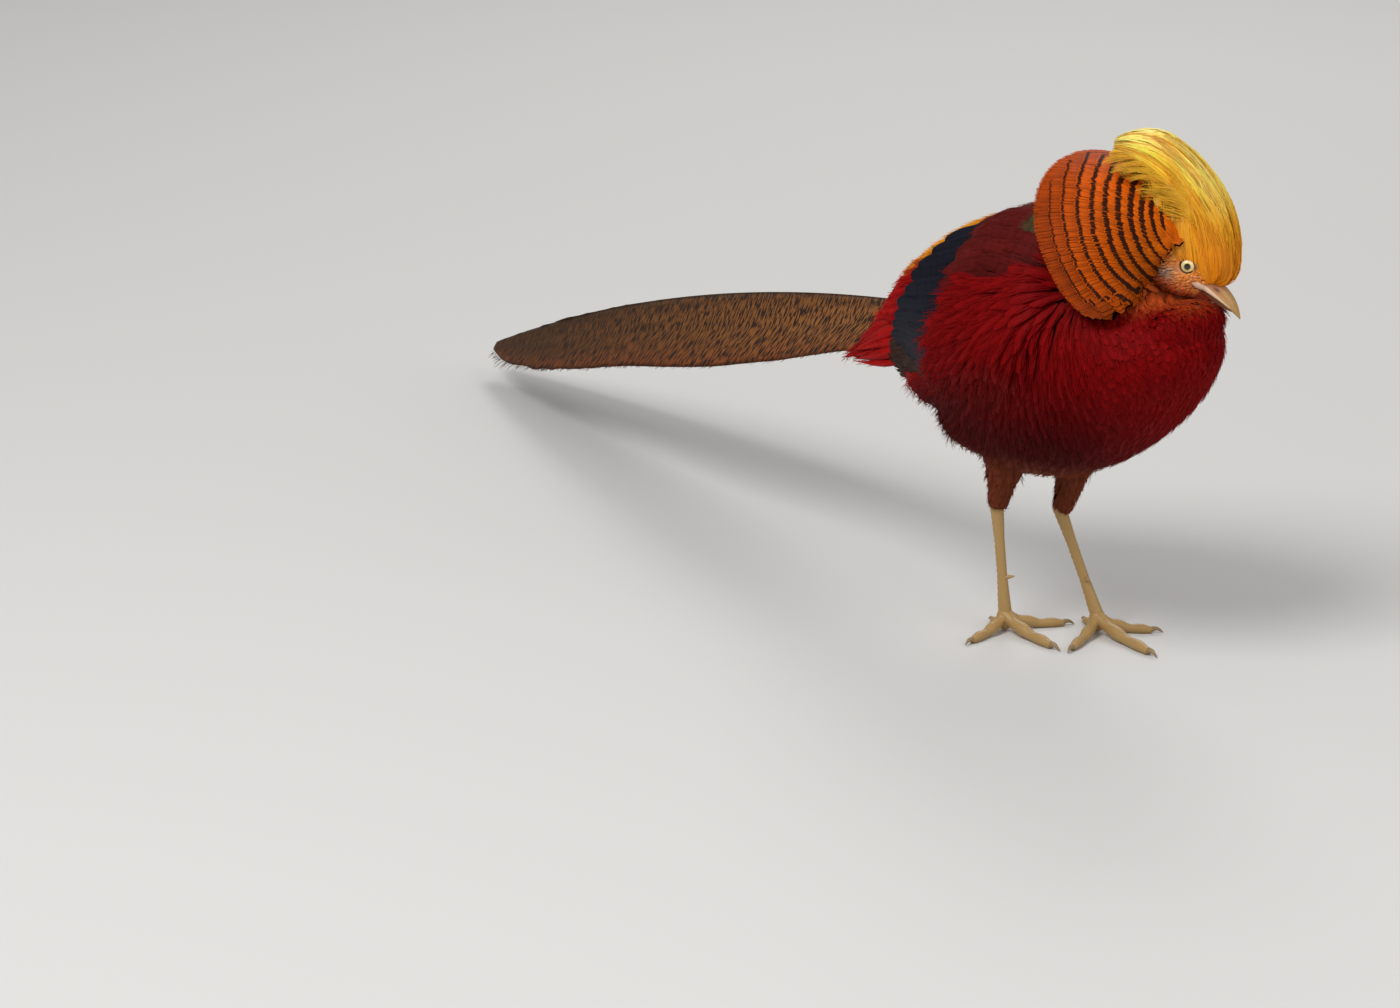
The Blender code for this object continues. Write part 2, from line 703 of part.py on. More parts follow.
def make_cape(obstacles):
    """The striped cape: tiers of square vanes that fan from the head over the neck."""
    core = cape_slab("cape", CAPE_CORE_GRID, (0.0, CAPE_CORE_SHARE), 0.0, 0.0, CAPE_CORE_THICK)
    vanes = []
    for root, tip, count in CAPE_TIERS:
        step = (CAPE_TURNS[1] - CAPE_TURNS[0]) / count

        def half(share, root=root, tip=tip, step=step):
            place = root + (tip - root) * share
            radius = (cape_surface(place, 60.0) - cape_axis(place)).length + CAPE_LIFT * share
            return radius * math.radians(step) * 0.56 * feather_share(share, 0.6, True)

        for j in range(count):

            def lift(share, above=CAPE_STEP * (j % 2)):
                return -0.0019 + CAPE_LIFT * share + above

            angle = CAPE_TURNS[0] + step * (j + 0.5)
            vanes.append(laid_vane(
                "vane", cape_surface, cape_inside, (root, angle), (tip, angle), lift, half, 0.0,
                "cape_orange", (0.0, 0.45, 0.88, 1.0),
            ))
    fuse(core, vanes)
    return carve(core, obstacles, solver="MANIFOLD")


def shell(name, outer, inner, rows, columns, finish):
    """A closed slab between two grids of points."""
    count = rows * columns
    faces = []
    for i in range(rows - 1):
        for j in range(columns - 1):
            a, b = i * columns + j, i * columns + j + 1
            c, d = b + columns, a + columns
            faces += [(a, b, c), (a, c, d)]
            faces += [(count + a, count + b, count + c), (count + a, count + c, count + d)]
    border = [j for j in range(columns)]
    border += [i * columns + columns - 1 for i in range(1, rows)]
    border += [(rows - 1) * columns + j for j in reversed(range(columns - 1))]
    border += [i * columns for i in reversed(range(1, rows - 1))]
    for k, a in enumerate(border):
        b = border[(k + 1) % len(border)]
        faces += [(a, b, count + b), (a, count + b, count + a)]
    return solid(name, outer + inner, faces, finish)


def body_inside(x):
    """A point on the body's middle line."""
    top, bottom, _ = row_at(BODY_ROWS, x)
    return Vector((x, tail_drift(x), (top + bottom) / 2))


def make_wing(label, side, obstacles):
    """A folded wing: a pad on the flank that carries five overlapping tiers of vanes."""
    lay = body_surface(side)
    back, front, high, low = WING_PAD
    rows, columns = WING_PAD_GRID
    outer, inner = [], []
    for i in range(rows):
        x = back + (front - back) * i / (rows - 1)
        for j in range(columns):
            angle = high + (low - high) * j / (columns - 1)
            point, normal = surface_frame(lay, x, angle, body_inside(x))
            edge = min(i, rows - 1 - i, j, columns - 1 - j) == 0
            outer.append(point + normal * (WING_PAD_THICK * (0.28 if edge else 1.0)))
            inner.append(point - normal * WING_PAD_SINK)
    pad = shell("wing_" + label, outer, inner, rows, columns, "wing_dark")
    vanes = []
    for _, count, low_root, high_root, low_tip, high_tip, widest, top, tilt, rise in WING_TIERS:

        def half(share, widest=widest):
            return widest * feather_share(share, 0.45, False)

        for j in range(count):
            s = j / (count - 1)
            start = [a + (b - a) * s for a, b in zip(low_root, high_root)]
            end = [a + (b - a) * s for a, b in zip(low_tip, high_tip)]

            def lift(share, top=top, start=start, end=end, rise=rise):
                angle = start[1] + (end[1] - start[1]) * share
                flat = WING_FLAT * min(1.0, max(0.0, (62 - angle) / 36))
                return 0.0010 + max(0.0, top - flat - 0.0010) * min(1.0, share / rise)

            vanes.append(laid_vane(
                "vane", lay, body_inside, start, end, lift, half, tilt * side, "wing_dark",
                (0.0, 0.3, 0.62, 0.88, 1.0),
            ))
    fuse(pad, vanes)
    return carve(pad, obstacles, solver="MANIFOLD")


def make_tail():
    """The tail root and its long vanes: two roofed in the middle, and narrower ones on each side."""
    back = BODY_ROWS[0][0]
    first = TORSO_BACK - GAP
    places = [first + (back - first) * i / 6 for i in range(7)]
    root = loft("tail", [body_ring(x) for x in places], "tail_brown")
    axis = TAIL_TIP - TAIL_ROOT
    ahead = axis.normalized()
    side = ahead.cross(Vector((0, 0, 1))).normalized()
    above = side.cross(ahead)
    vanes = []

    def ridge(share, level):
        arch = 4 * share * (1 - share) * TAIL_ARCH
        return TAIL_ROOT + axis * share + above * (arch - TAIL_STEP * level)

    for level, reach in ((0, 1.0), (1, 0.93)):
        stations = []
        for share in (0.0, 0.06, 0.19, 0.36, 0.54, 0.70, 0.83, 0.93, 1.0):
            width = TAIL_HALF * tail_share(share)
            flat = min(1.0, 0.35 + share / 0.15)
            drop = width * math.sin(math.radians(TAIL_ROOF)) * flat
            half = width * math.cos(math.radians(TAIL_ROOF * flat))
            stations.append((ridge(share * reach, level), side, above, half, TAIL_THICK, drop))
        vanes.append(blade("vane", stations, "tail_brown"))
    for sign in (1, -1):
        for k, reach in enumerate(TAIL_SIDE_SHARES):
            slope = math.radians(TAIL_ROOF + 3.0 * k)
            out = side * sign * math.cos(slope) - above * math.sin(slope)
            normal = side * sign * math.sin(slope) + above * math.cos(slope)
            stations = []
            for share in (0.0, 0.14, 0.40, 0.66, 0.88, 1.0):
                full = TAIL_HALF * tail_share(share * reach)
                width = full * 0.47 * (1.0 - 0.80 * max(0.0, share - 0.6) / 0.4)
                here = ridge(share * reach, 2 + k) + out * (0.0012 + full * 0.50 + 0.0010 * k)
                lean = 1 if sign > 0 else -1
                stations.append((here, out * lean, normal, width, TAIL_THICK * 0.85, 0.0))
            vanes.append(blade("vane", stations, "tail_brown"))
    return fuse(root, vanes)


def tail_share(share):
    """A tail vane's half width at a share of its length, as a share of its widest."""
    return float(row_at(TAIL_WIDTHS, share)[0])


def make_coverts(tail):
    """The red plumes beside the root of the tail, rooted in a sleeve round it."""
    start, end = TORSO_BACK - 2 * GAP, SLEEVE_END
    places = [start + (end - start) * i / 4 for i in range(5)]
    sleeve = loft("tail_coverts", [body_ring(x, SLEEVE_THICK) for x in places], "plumage_red")
    plumes = []
    for sign in (1, -1):
        lay = body_surface(sign)
        for j in range(PLUME_COUNT):
            s = j / (PLUME_COUNT - 1)
            angle = PLUME_TURNS[0] + (PLUME_TURNS[1] - PLUME_TURNS[0]) * s
            short, long = PLUME_LENGTHS
            length = short + (long - short) * math.sin(math.pi * (0.25 + 0.6 * s))
            place = TORSO_BACK - 0.014
            point, normal = surface_frame(lay, place, angle, body_inside(place))
            root = point + normal * (SLEEVE_THICK * 0.45)
            ahead = (TAIL_TIP - TAIL_ROOT).normalized()
            out = (normal - ahead * normal.dot(ahead)).normalized()
            tip = root + ahead * length + out * (0.011 + 0.006 * s) + Vector((0, 0, -0.001 - 0.006 * s))
            bend = root + ahead * (length * 0.45) + out * (0.010 + 0.003 * s)
            stations = []
            for share in (0.0, 0.35, 0.7, 1.0):
                line = (root, bend, tip)
                here = bezier(line, share)
                lead = bezier(line, min(1, share + 0.05)) - bezier(line, max(0, share - 0.05))
                lead.normalize()
                face = (out - lead * out.dot(lead)).normalized()
                face = Matrix.Rotation(math.radians(9 * sign), 3, lead) @ face
                slim = 1 - 0.88 * max(0, share - 0.35) / 0.65
                half = PLUME_HALF * (0.55 + 0.45 * min(1, share / 0.3)) * slim
                stations.append((here, lead.cross(face), face, half, 0.0009 - 0.0003 * share, 0.0))
            plumes.append(blade("plume", stations, "plumage_red"))
    fuse(sleeve, plumes)
    return carve(sleeve, [tail], solver="MANIFOLD")


def make_thigh(label, torso):
    """The feathered shank from the belly to the hock."""
    hip, hock = HIPS[label], HOCKS[label]
    knee = hip.lerp(hock, 0.5) + Vector((0.006, 0, 0.004))
    rings = []
    count = 9
    for i in range(count):
        s = i / (count - 1)
        line = (hip, knee, hock)
        centre = bezier(line, s)
        lead = (bezier(line, min(1, s + 0.05)) - bezier(line, max(0, s - 0.05))).normalized()
        across = Vector((0, 1, 0))
        across = (across - lead * across.dot(lead)).normalized()
        radius = np.interp(s, np.linspace(0, 1, len(THIGH_RADII)), THIGH_RADII)
        rings.append(ring(centre, across, lead.cross(across), radius, radius * 1.12, radius * 1.12, 14))
    return carve(loft("thigh_" + label, rings, "plumage_maroon"), [torso])


def make_leg(label, thigh):
    """The scaly shank and foot, with a spur, flat under the toes, and the claws as their own solids."""
    hock, foot = HOCKS[label], FEET[label]
    lead = (foot - hock).normalized()
    across = Vector((0, 1, 0))
    across = (across - lead * across.dot(lead)).normalized()
    ahead = across.cross(lead)
    rings = []
    count = 2 * SCUTES + 1
    for i in range(count):
        s = i / (count - 1)
        centre = (hock + lead * GAP).lerp(foot, s)
        radius = np.interp(s, np.linspace(0, 1, len(TARSUS_RADII)), TARSUS_RADII)
        front = radius + (SCUTE_RISE if i % 2 else 0.0)
        rings.append(ring(centre, across, ahead, radius * 0.92, front * 1.12, radius * 1.1, 9))
    leg = loft("leg_" + label, rings, "leg_scale")
    pieces = []
    claws = []
    names = ("inner", "middle", "outer", "hind")
    if label == "right":
        names = ("outer", "middle", "inner", "hind")
    for name, heading, length, radius, claw in zip(
        names, TOE_HEADINGS[label], TOE_LENGTHS[label], TOE_RADII, CLAW_LENGTHS
    ):
        turn = math.radians(heading)
        way = Vector((math.cos(turn), math.sin(turn), 0))
        line, radii = [], []
        for i in range(TOE_RINGS):
            s = i / (TOE_RINGS - 1)
            pad = 1 + 0.10 * math.cos(2 * math.pi * 2.5 * s)
            thick = radius * (1.18 - 0.38 * s) * pad
            base = foot + Vector((0, 0, -0.001))
            height = base.z * (1 - s) ** 3 + (thick - 0.0005) * (1 - (1 - s) ** 3)
            line.append(Vector((base.x, base.y, 0)) + way * (length * s) + Vector((0, 0, height)))
            radii.append(thick)
        pieces.append(tube("toe", line, radii, 7, "leg_scale"))
        tip = line[-1]
        tube_end = radii[-1]
        points, sizes = [], []
        for i in range(5):
            s = i / 4
            rise = tube_end * 0.75 * math.sin(math.pi * s) + (0.0006 - tip.z) * s**1.4
            points.append(tip + way * (GAP + claw * s) + Vector((0, 0, rise)))
            sizes.append(tube_end * 0.72 * (1 - s) ** 0.8 + 0.00028)
        claws.append(tube("claw_" + label + "_" + name, points, sizes, 7, "horn"))
    inward = 1 if label == "right" else -1
    spur_root = hock.lerp(foot, 0.66) - ahead * 0.001
    spur_tip = spur_root - ahead * SPUR_LENGTH + across * (inward * 0.004) + Vector((0, 0, 0.001))
    spur_line = [spur_root.lerp(spur_tip, s) for s in (0, 0.5, 1)]
    pieces.append(tube("spur", spur_line, SPUR_RADII, 7, "leg_scale"))
    ball_line = [foot + Vector((0, 0, z)) for z in (-0.0100, -0.004, 0.003)]
    ball_radii = (0.0042, 0.0052, 0.0036)
    pieces.append(tube("ball", ball_line, ball_radii, 10, "leg_scale", Vector((1, 0, 0))))
    fuse(leg, pieces, "EXACT")
    level_soles(leg)
    carve(leg, [thigh])
    return [leg, *(carve(claw, [leg]) for claw in claws)]


def level_soles(leg):
    """Cuts the foot flat at the floor."""
    work = bmesh.new()
    work.from_mesh(leg.data)
    bmesh.ops.bisect_plane(
        work, geom=[*work.verts, *work.edges, *work.faces],
        plane_co=(0, 0, 0), plane_no=(0, 0, 1), clear_inner=True,
    )
    rim = [e for e in work.edges if e.is_boundary]
    bmesh.ops.holes_fill(work, edges=rim, sides=0)
    bmesh.ops.triangulate(work, faces=work.faces)
    bmesh.ops.recalc_face_normals(work, faces=work.faces)
    work.to_mesh(leg.data)
    work.free()
    keep_largest(leg)


def recentre(items):
    """Shifts every part so that the origin is under the middle of the bird, on the floor."""
    corners = np.array([v.co for item in items for v in item.data.vertices], float)
    low, high = corners.min(0), corners.max(0)
    shift = Matrix.Translation((-(low[0] + high[0]) / 2, -(low[1] + high[1]) / 2, -low[2]))
    for item in items:
        item.data.transform(shift)


def smooth_shade(item):
    """Shades an item smooth, with its sharp edges kept."""
    item.data.shade_smooth()
    item.data.set_sharp_from_angle(angle=math.radians(35))


def main():
    """Builds every node of the bird."""
    clear_scene()
    first, last = HEAD_ROWS[0][0], HEAD_ROWS[-1][0]
    head_rings = [head_ring(first + (last - first) * i / (HEAD_RINGS - 1)) for i in range(HEAD_RINGS)]
    head_shape = loft("head_shape", head_rings, "face_skin")
    torso = make_torso(head_shape)
    neck = make_neck([head_shape, torso])
    cape_room = cape_slab("cape_room", (5, 15), (-0.02, 1.03), 4.0, CAPE_ROOM, 0.0035)
    bills = make_bill()
    items = [torso, neck, make_head(), *bills]
    items += [eyeball("eye_left", 1), eyeball("eye_right", -1)]
    items.append(make_crest([head_shape, bills[0], cape_room]))
    items.append(make_cape([head_shape, neck, torso]))
    for label, side in (("left", 1), ("right", -1)):
        items.append(make_wing(label, side, [torso, neck, cape_room]))
    tail = make_tail()
    items += [tail, make_coverts(tail)]
    for label in ("left", "right"):
        items.append(make_thigh(label, torso))
        items += make_leg(label, items[-1])
    for helper in (head_shape, cape_room):
        bpy.data.objects.remove(helper, do_unlink=True)
    recentre(items)
    for item in items:
        smooth_shade(item)


main()
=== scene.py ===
"""Visual model of a golden pheasant cock, standing still at life size.

Shapes are worked out in the bird frame: +X forward, +Y to the bird's left, +Z up, floor at Z 0, in metres.
The head has a frame of its own: F along the bill, L to its left, U up through the crown. Every mesh is
shifted from the bird frame into the frame of the solids as it is made.
"""

import logging
import math
from dataclasses import dataclass, field
from enum import Enum
from typing import Callable, Sequence

import bmesh
import bpy
import numpy as np
from mathutils import Matrix, Vector
from mathutils.bvhtree import BVHTree
from mathutils.kdtree import KDTree


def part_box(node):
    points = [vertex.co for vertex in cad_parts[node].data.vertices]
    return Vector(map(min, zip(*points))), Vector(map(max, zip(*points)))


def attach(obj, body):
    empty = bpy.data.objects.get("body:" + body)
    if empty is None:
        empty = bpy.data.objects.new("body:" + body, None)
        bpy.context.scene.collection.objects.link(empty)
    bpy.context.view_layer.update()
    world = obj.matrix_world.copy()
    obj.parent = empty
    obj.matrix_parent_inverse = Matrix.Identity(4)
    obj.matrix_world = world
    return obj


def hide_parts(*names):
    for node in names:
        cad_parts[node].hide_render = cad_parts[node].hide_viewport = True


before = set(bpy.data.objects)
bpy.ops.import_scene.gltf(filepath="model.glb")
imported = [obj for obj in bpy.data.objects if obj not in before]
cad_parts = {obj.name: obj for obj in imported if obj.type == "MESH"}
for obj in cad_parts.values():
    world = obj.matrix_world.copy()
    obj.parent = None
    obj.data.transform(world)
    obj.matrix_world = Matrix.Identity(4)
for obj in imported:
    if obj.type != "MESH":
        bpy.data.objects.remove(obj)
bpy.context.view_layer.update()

logging.basicConfig(level=logging.INFO, format="%(message)s")
LOG = logging.getLogger("pheasant")

Array = np.ndarray
Colour = tuple[float, float, float]
Surface = Callable[[Array, Array], Array]

SEED = 11
BAKE_PATCH = 0.003
WORLD_UP = np.array((0.0, 0.0, 1.0))
# The body's unwrap: its first x and its length.
UNWRAP = (-0.2, 0.32)
# Below this height the legs' feathers grow.
LEG_TOP = 0.112

BODY_ROWS = (
    (-0.200, 0.1800, 0.1570, 0.0120),
    (-0.175, 0.1940, 0.1560, 0.0170),
    (-0.150, 0.2090, 0.1540, 0.0230),
    (-0.130, 0.2225, 0.1480, 0.0300),
    (-0.100, 0.2440, 0.1340, 0.0400),
    (-0.060, 0.2630, 0.1080, 0.0540),
    (-0.020, 0.2765, 0.1050, 0.0615),
    (0.020, 0.2725, 0.1160, 0.0640),
    (0.055, 0.2590, 0.1360, 0.0590),
    (0.080, 0.2420, 0.1590, 0.0470),
    (0.096, 0.2295, 0.1815, 0.0315),
    (0.105, 0.2215, 0.1935, 0.0200),
    (0.109, 0.2140, 0.2025, 0.0090),
)
TORSO_BACK = -0.150
TAIL_DRIFT = 0.17

HEAD_CENTRE = np.array((0.083, 0.0095, 0.257))
HEAD_YAW = math.radians(30.0)
HEAD_BOW = math.radians(33.0)
HEAD_ROWS = (
    (-0.0200, 0.0150, 0.0165, 0.0160),
    (-0.0120, 0.0162, 0.0188, 0.0172),
    (-0.0020, 0.0160, 0.0190, 0.0172),
    (0.0070, 0.0142, 0.0160, 0.0160),
    (0.0140, 0.0105, 0.0110, 0.0125),
    (0.0190, 0.0070, 0.0062, 0.0082),
)
EYE_AT = (0.0030, 0.0109, 0.0053)
# Where the solids' eye is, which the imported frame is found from.
EYE_NODE = (0.0045, 0.0108, 0.0045)
EYE_RADIUS = 0.0050
LID_RADIUS = 0.0045

CREST_ROWS = (
    (0.0256, 0.0016, 0.0046, 0.0040, 0.0046),
    (0.0236, 0.0130, 0.0085, 0.0058, 0.0080),
    (0.0122, 0.0272, 0.0122, 0.0074, 0.0130),
    (-0.0032, 0.0356, 0.0150, 0.0120, 0.0180),
    (-0.0200, 0.0410, 0.0160, 0.0140, 0.0200),
    (-0.0360, 0.0440, 0.0155, 0.0150, 0.0175),
    (-0.0510, 0.0440, 0.0130, 0.0145, 0.0125),
    (-0.0640, 0.0400, 0.0090, 0.0095, 0.0075),
    (-0.0740, 0.0345, 0.0045, 0.0035, 0.0035),
)

CAPE_RIM_CENTRE = np.array((0.034, 0.0, 0.266))
CAPE_RIM_TOP = np.array((-0.60, 0.0, 0.80))
CAPE_RIM_RADIUS = 0.0480
CAPE_RIM_LOWER = 0.0640
CAPE_START = -0.0110
CAPE_HEAD_RADIUS = 0.0205
CAPE_TURNS = (-134.0, 94.0)
CAPE_REST = 0.0036
# How far forward the cape's lower lobe is drawn, by share of the way to the rim.
CAPE_LEAD = ((0.15, 0.0), (0.3, 0.010), (0.5, 0.013), (0.7, 0.012), (0.85, 0.009), (1.0, 0.006))
# The bars lie on circles round the crest's middle, seen from the side that the cape is fanned to.
CAPE_ACROSS = np.array((0.6428, 0.7660, 0.0))
CAPE_RISE = np.array((-0.2288, 0.1920, 0.9543))
CAPE_MIDDLE = (0.0624, 0.2567)

TAIL_ROOT = np.array((-0.181, 0.0053, 0.1830))
TAIL_TIP = np.array((-0.7067, 0.0980, 0.0260))
TAIL_ARCH = 0.016
TAIL_ROOF = 50.0
TAIL_HALF = 0.0505
TAIL_WIDTHS = (
    (0.0, 0.36), (0.05, 0.42), (0.19, 0.56), (0.34, 0.70), (0.49, 0.88), (0.64, 1.0),
    (0.79, 0.84), (0.87, 0.66), (0.94, 0.44), (1.0, 0.12),
)
TAIL_SIDE_SHARES = (0.86, 0.70, 0.55, 0.42, 0.31)
TAIL_STEP = 0.0010

HOCKS = {"right": (-0.042, -0.021, 0.081), "left": (-0.0225, 0.0155, 0.0755)}
FEET = {"right": (-0.038, -0.016, 0.0110), "left": (0.0024, 0.0253, 0.0110)}
TOE_HEADINGS = {"right": (-80.0, -4.0, 62.0, 165.0), "left": (-67.0, -7.0, 47.0, 158.0)}
TOE_LENGTHS = {"right": (0.034, 0.045, 0.038, 0.016), "left": (0.040, 0.052, 0.034, 0.020)}
TOE_RADII = (0.0032, 0.0036, 0.0032, 0.0026)
CLAW_LENGTHS = (0.0085, 0.0095, 0.0085, 0.0070)
TARSUS_RADII = (0.0046, 0.0032, 0.0031, 0.0044)

# The folded wing's outline on one side of the body, as (x, angle down from the back ridge).
WING_OUTLINE = (
    (0.040, 32), (0.032, 22), (-0.034, 24), (-0.047, 28), (-0.068, 32), (-0.083, 50), (-0.092, 64),
    (-0.101, 73), (-0.114, 93), (-0.125, 137), (-0.100, 128), (-0.045, 112), (0.020, 104), (0.040, 80),
)
# Where the red flank plumes end over the wing, as (angle, x).
FLANK_EDGE = ((40, 0.030), (46, 0.020), (55, -0.004), (62, -0.038), (80, -0.051), (103, -0.062), (118, -0.077))
ANGLE_METRES = 0.062


class Tone(Enum):
    """Base colours of the plumage and bare parts, linear RGB."""

    CRIMSON = (0.225, 0.0004, 0.0012)
    SCARLET = (0.38, 0.003, 0.003)
    # Painted shade of the lower flanks.
    SHADED_RED = (0.048, 0.0008, 0.0014)
    MAROON = (0.10, 0.006, 0.005)
    # Painted shade of the belly.
    BELLY = (0.040, 0.004, 0.003)
    GOLD = (0.86, 0.30, 0.006)
    AMBER = (0.82, 0.245, 0.001)
    LEMON = (1.0, 0.66, 0.045)
    SILK = (1.0, 0.82, 0.28)
    CAPE = (0.52, 0.068, 0.001)
    BAR = (0.013, 0.0045, 0.0035)
    MANTLE = (0.035, 0.075, 0.030)
    INK = (0.006, 0.0065, 0.014)
    WING_BROWN = (0.036, 0.011, 0.005)
    TAIL = (0.225, 0.083, 0.020)
    RUFOUS = (0.24, 0.060, 0.016)
    FACE = (0.95, 0.30, 0.050)
    THROAT = (0.78, 0.145, 0.026)
    EAR = (0.52, 0.42, 0.32)
    THIGH = (0.15, 0.032, 0.012)
    SHANK = (0.42, 0.255, 0.085)
    BILL = (0.46, 0.25, 0.070)
    BILL_ROOT = (0.48, 0.17, 0.070)


def rgb(tone: Tone) -> Array:
    """A tone as an array."""
    return np.array(tone.value)


@dataclass(frozen=True)
class Finish:
    """How a plumage or skin surface takes light.

    roughness, sheen, specular, coat and glow (the sheen's tint) are the shader's own values. streak is how
    much the barbs vary in brightness, lines is their number along a feather, and relief is their height.
    """

    roughness: float = 0.6
    sheen: float = 0.25
    specular: float = 0.35
    coat: float = 0.0
    streak: float = 0.35
    lines: float = 14.0
    relief: float = 0.0002
    glow: Colour = (1.0, 1.0, 1.0)


def unit(vectors: Array) -> Array:
    """Vectors scaled to length one."""
    return vectors / np.maximum(np.linalg.norm(vectors, axis=-1, keepdims=True), 1e-12)


def dot(a: Array, b: Array) -> Array:
    """Row by row scalar products, kept as a last axis of one."""
    return (a * b).sum(-1, keepdims=True)


def ease(value: Array, low: float, high: float) -> Array:
    """A smooth step from 0 at low to 1 at high."""
    s = np.clip((np.asarray(value, float) - low) / (high - low), 0.0, 1.0)
    return s * s * (3 - 2 * s)


def mix(a: Array, b: Array, share: Array | float) -> Array:
    """Colours between a and b. A share array gets the colour axis added."""
    share = np.asarray(share)[..., None]
    return a * (1 - share) + b * share


class Table:
    """Smooth values between the rows of a table, whose first column is the key."""

    def __init__(self, rows: Sequence[Sequence[float]]):
        data = np.array(rows, float)
        self.keys, self.values = data[:, 0], data[:, 1:]
        self.slopes = np.gradient(self.values, self.keys, axis=0)

    def __call__(self, key: Array) -> list[Array]:
        """The other columns' values at the keys.

        Args:
            key: Any shape of keys. Those beyond the ends take the end's values.

        Returns:
            One array for each column, shaped as the keys.
        """
        key = np.clip(np.asarray(key, float), self.keys[0], self.keys[-1])
        i = np.clip(np.searchsorted(self.keys, key, side="right") - 1, 0, len(self.keys) - 2)
        span = self.keys[i + 1] - self.keys[i]
        s = (key - self.keys[i]) / span
        low, high = 2 * s**3 - 3 * s**2 + 1, 3 * s**2 - 2 * s**3
        out, back = (s**3 - 2 * s**2 + s) * span, (s**3 - s**2) * span
        ends = (self.values[i].T, self.values[i + 1].T, self.slopes[i].T, self.slopes[i + 1].T)
        found = low.T * ends[0] + high.T * ends[1] + out.T * ends[2] + back.T * ends[3]
        return [column.T for column in found]


BODY = Table(BODY_ROWS)
HEAD = Table(HEAD_ROWS)
CREST = Table([(i / (len(CREST_ROWS) - 1), *row) for i, row in enumerate(CREST_ROWS)])
TAIL = Table(TAIL_WIDTHS)
FORWARD = np.array((
    math.cos(HEAD_BOW) * math.cos(HEAD_YAW), math.cos(HEAD_BOW) * math.sin(HEAD_YAW), -math.sin(HEAD_BOW),
))
LEFT = np.array((-math.sin(HEAD_YAW), math.cos(HEAD_YAW), 0.0))
UP = np.cross(FORWARD, LEFT)


def head_point(f: Array, l: Array, u: Array) -> Array:
    """Points given in the head's own frame."""
    f, l, u = (np.asarray(v, float)[..., None] for v in (f, l, u))
    return HEAD_CENTRE + FORWARD * f + LEFT * l + UP * u


def head_place(points: Array) -> tuple[Array, Array, Array]:
    """The F, L and U of points."""
    offset = points - HEAD_CENTRE
    return offset @ FORWARD, offset @ LEFT, offset @ UP


def packed_shift() -> Array:
    """The move from the bird frame to the solids' frame, from where the right eye is in each."""
    low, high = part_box("eye_right")
    return np.array((low + high) / 2) - head_point(EYE_NODE[0], -EYE_NODE[1], EYE_NODE[2])


SHIFT = packed_shift()


def tail_drift(x: Array) -> Array:
    """How far the body's middle lies to the left behind the torso."""
    return np.maximum(0.0, TORSO_BACK - x) * TAIL_DRIFT


def body_surface(x: Array, angle: Array) -> Array:
    """Points of the body's skin at x and the angle from the back ridge, positive on the left."""
    x, angle = np.broadcast_arrays(np.asarray(x, float), np.asarray(angle, float))
    top, bottom, half = BODY(x)
    turn = np.radians(angle)
    return np.stack((
        x, tail_drift(x) + half * np.sin(turn), (top + bottom) / 2 + (top - bottom) / 2 * np.cos(turn),
    ), -1)


def body_place(points: Array) -> tuple[Array, Array]:
    """The x and signed angle of points on or near the body's skin."""
    x = points[..., 0]
    top, bottom, half = BODY(x)
    rise = (points[..., 2] - (top + bottom) / 2) / ((top - bottom) / 2)
    return x, np.degrees(np.arctan2((points[..., 1] - tail_drift(x)) / half, rise))


def head_surface(f: Array, angle: Array) -> Array:
    """Points of the head's skin at F and the angle from the crown, positive on the left."""
    f, angle = np.broadcast_arrays(np.asarray(f, float), np.asarray(angle, float))
    half, up, down = HEAD(f)
    turn = np.radians(angle)
    rise = np.cos(turn)
    return head_point(f, half * np.sin(turn), np.where(rise > 0, up, down) * rise)


def cape_axis(share: Array) -> Array:
    """Points on the line from the back of the head to the centre of the cape's rim."""
    share = np.asarray(share, float)[..., None]
    return head_point(CAPE_START, 0, 0.001) * (1 - share) + CAPE_RIM_CENTRE * share


def over_body(points: Array, margin: Array) -> Array:
    """Points lifted out of the body's skin to a margin over it."""
    top, bottom, half = BODY(points[..., 0])
    middle = (top + bottom) / 2
    across = points[..., 1] / (half + margin)
    rise = (points[..., 2] - middle) / ((top - bottom) / 2 + margin)
    reach = np.hypot(across, rise)
    lift = np.where((margin > 0) & (reach < 1), 1 / np.maximum(reach, 1e-6), 1.0)
    return np.stack((
        points[..., 0], points[..., 1] * lift, middle + (points[..., 2] - middle) * lift,
    ), -1)


def cape_surface(share: Array, angle: Array) -> Array:
    """Points of the cape's cone: share from head to rim, angle from the nape, positive on the left."""
    share, angle = np.broadcast_arrays(np.asarray(share, float), np.asarray(angle, float))
    turn = np.radians(angle)
    part = share[..., None]
    top = unit(UP * (1 - part) + CAPE_RIM_TOP * part)
    across = LEFT * (1 - part) + np.array((0.0, 1.0, 0.0)) * part
    across = unit(across - top * dot(across, top))
    lower = CAPE_RIM_RADIUS + (CAPE_RIM_LOWER - CAPE_RIM_RADIUS) * (1 - np.cos(turn)) / 2
    radius = CAPE_HEAD_RADIUS + (lower - CAPE_HEAD_RADIUS) * np.maximum(share, 0.0) ** 0.85
    points = cape_axis(share)
    points = points + top * (radius * np.cos(turn))[..., None] + across * (radius * np.sin(turn))[..., None]
    low = ease(-angle, 105, 150)
    lead = low * np.interp(share, *np.array(CAPE_LEAD).T)
    fall = 0.006 * ease(-angle, 82, 124) * ease(share, 0.3, 0.95) * (1 - 1.1 * ease(-angle, 126, 148))
    fall = fall + 0.003 * low * ease(share, 0.25, 0.5) * (1 - ease(share, 0.5, 0.7))
    points = points + np.stack((lead, 0 * lead, -fall), -1)
    return over_body(points, CAPE_REST * np.clip((share - 0.3) / 0.3, 0.0, 1.0))


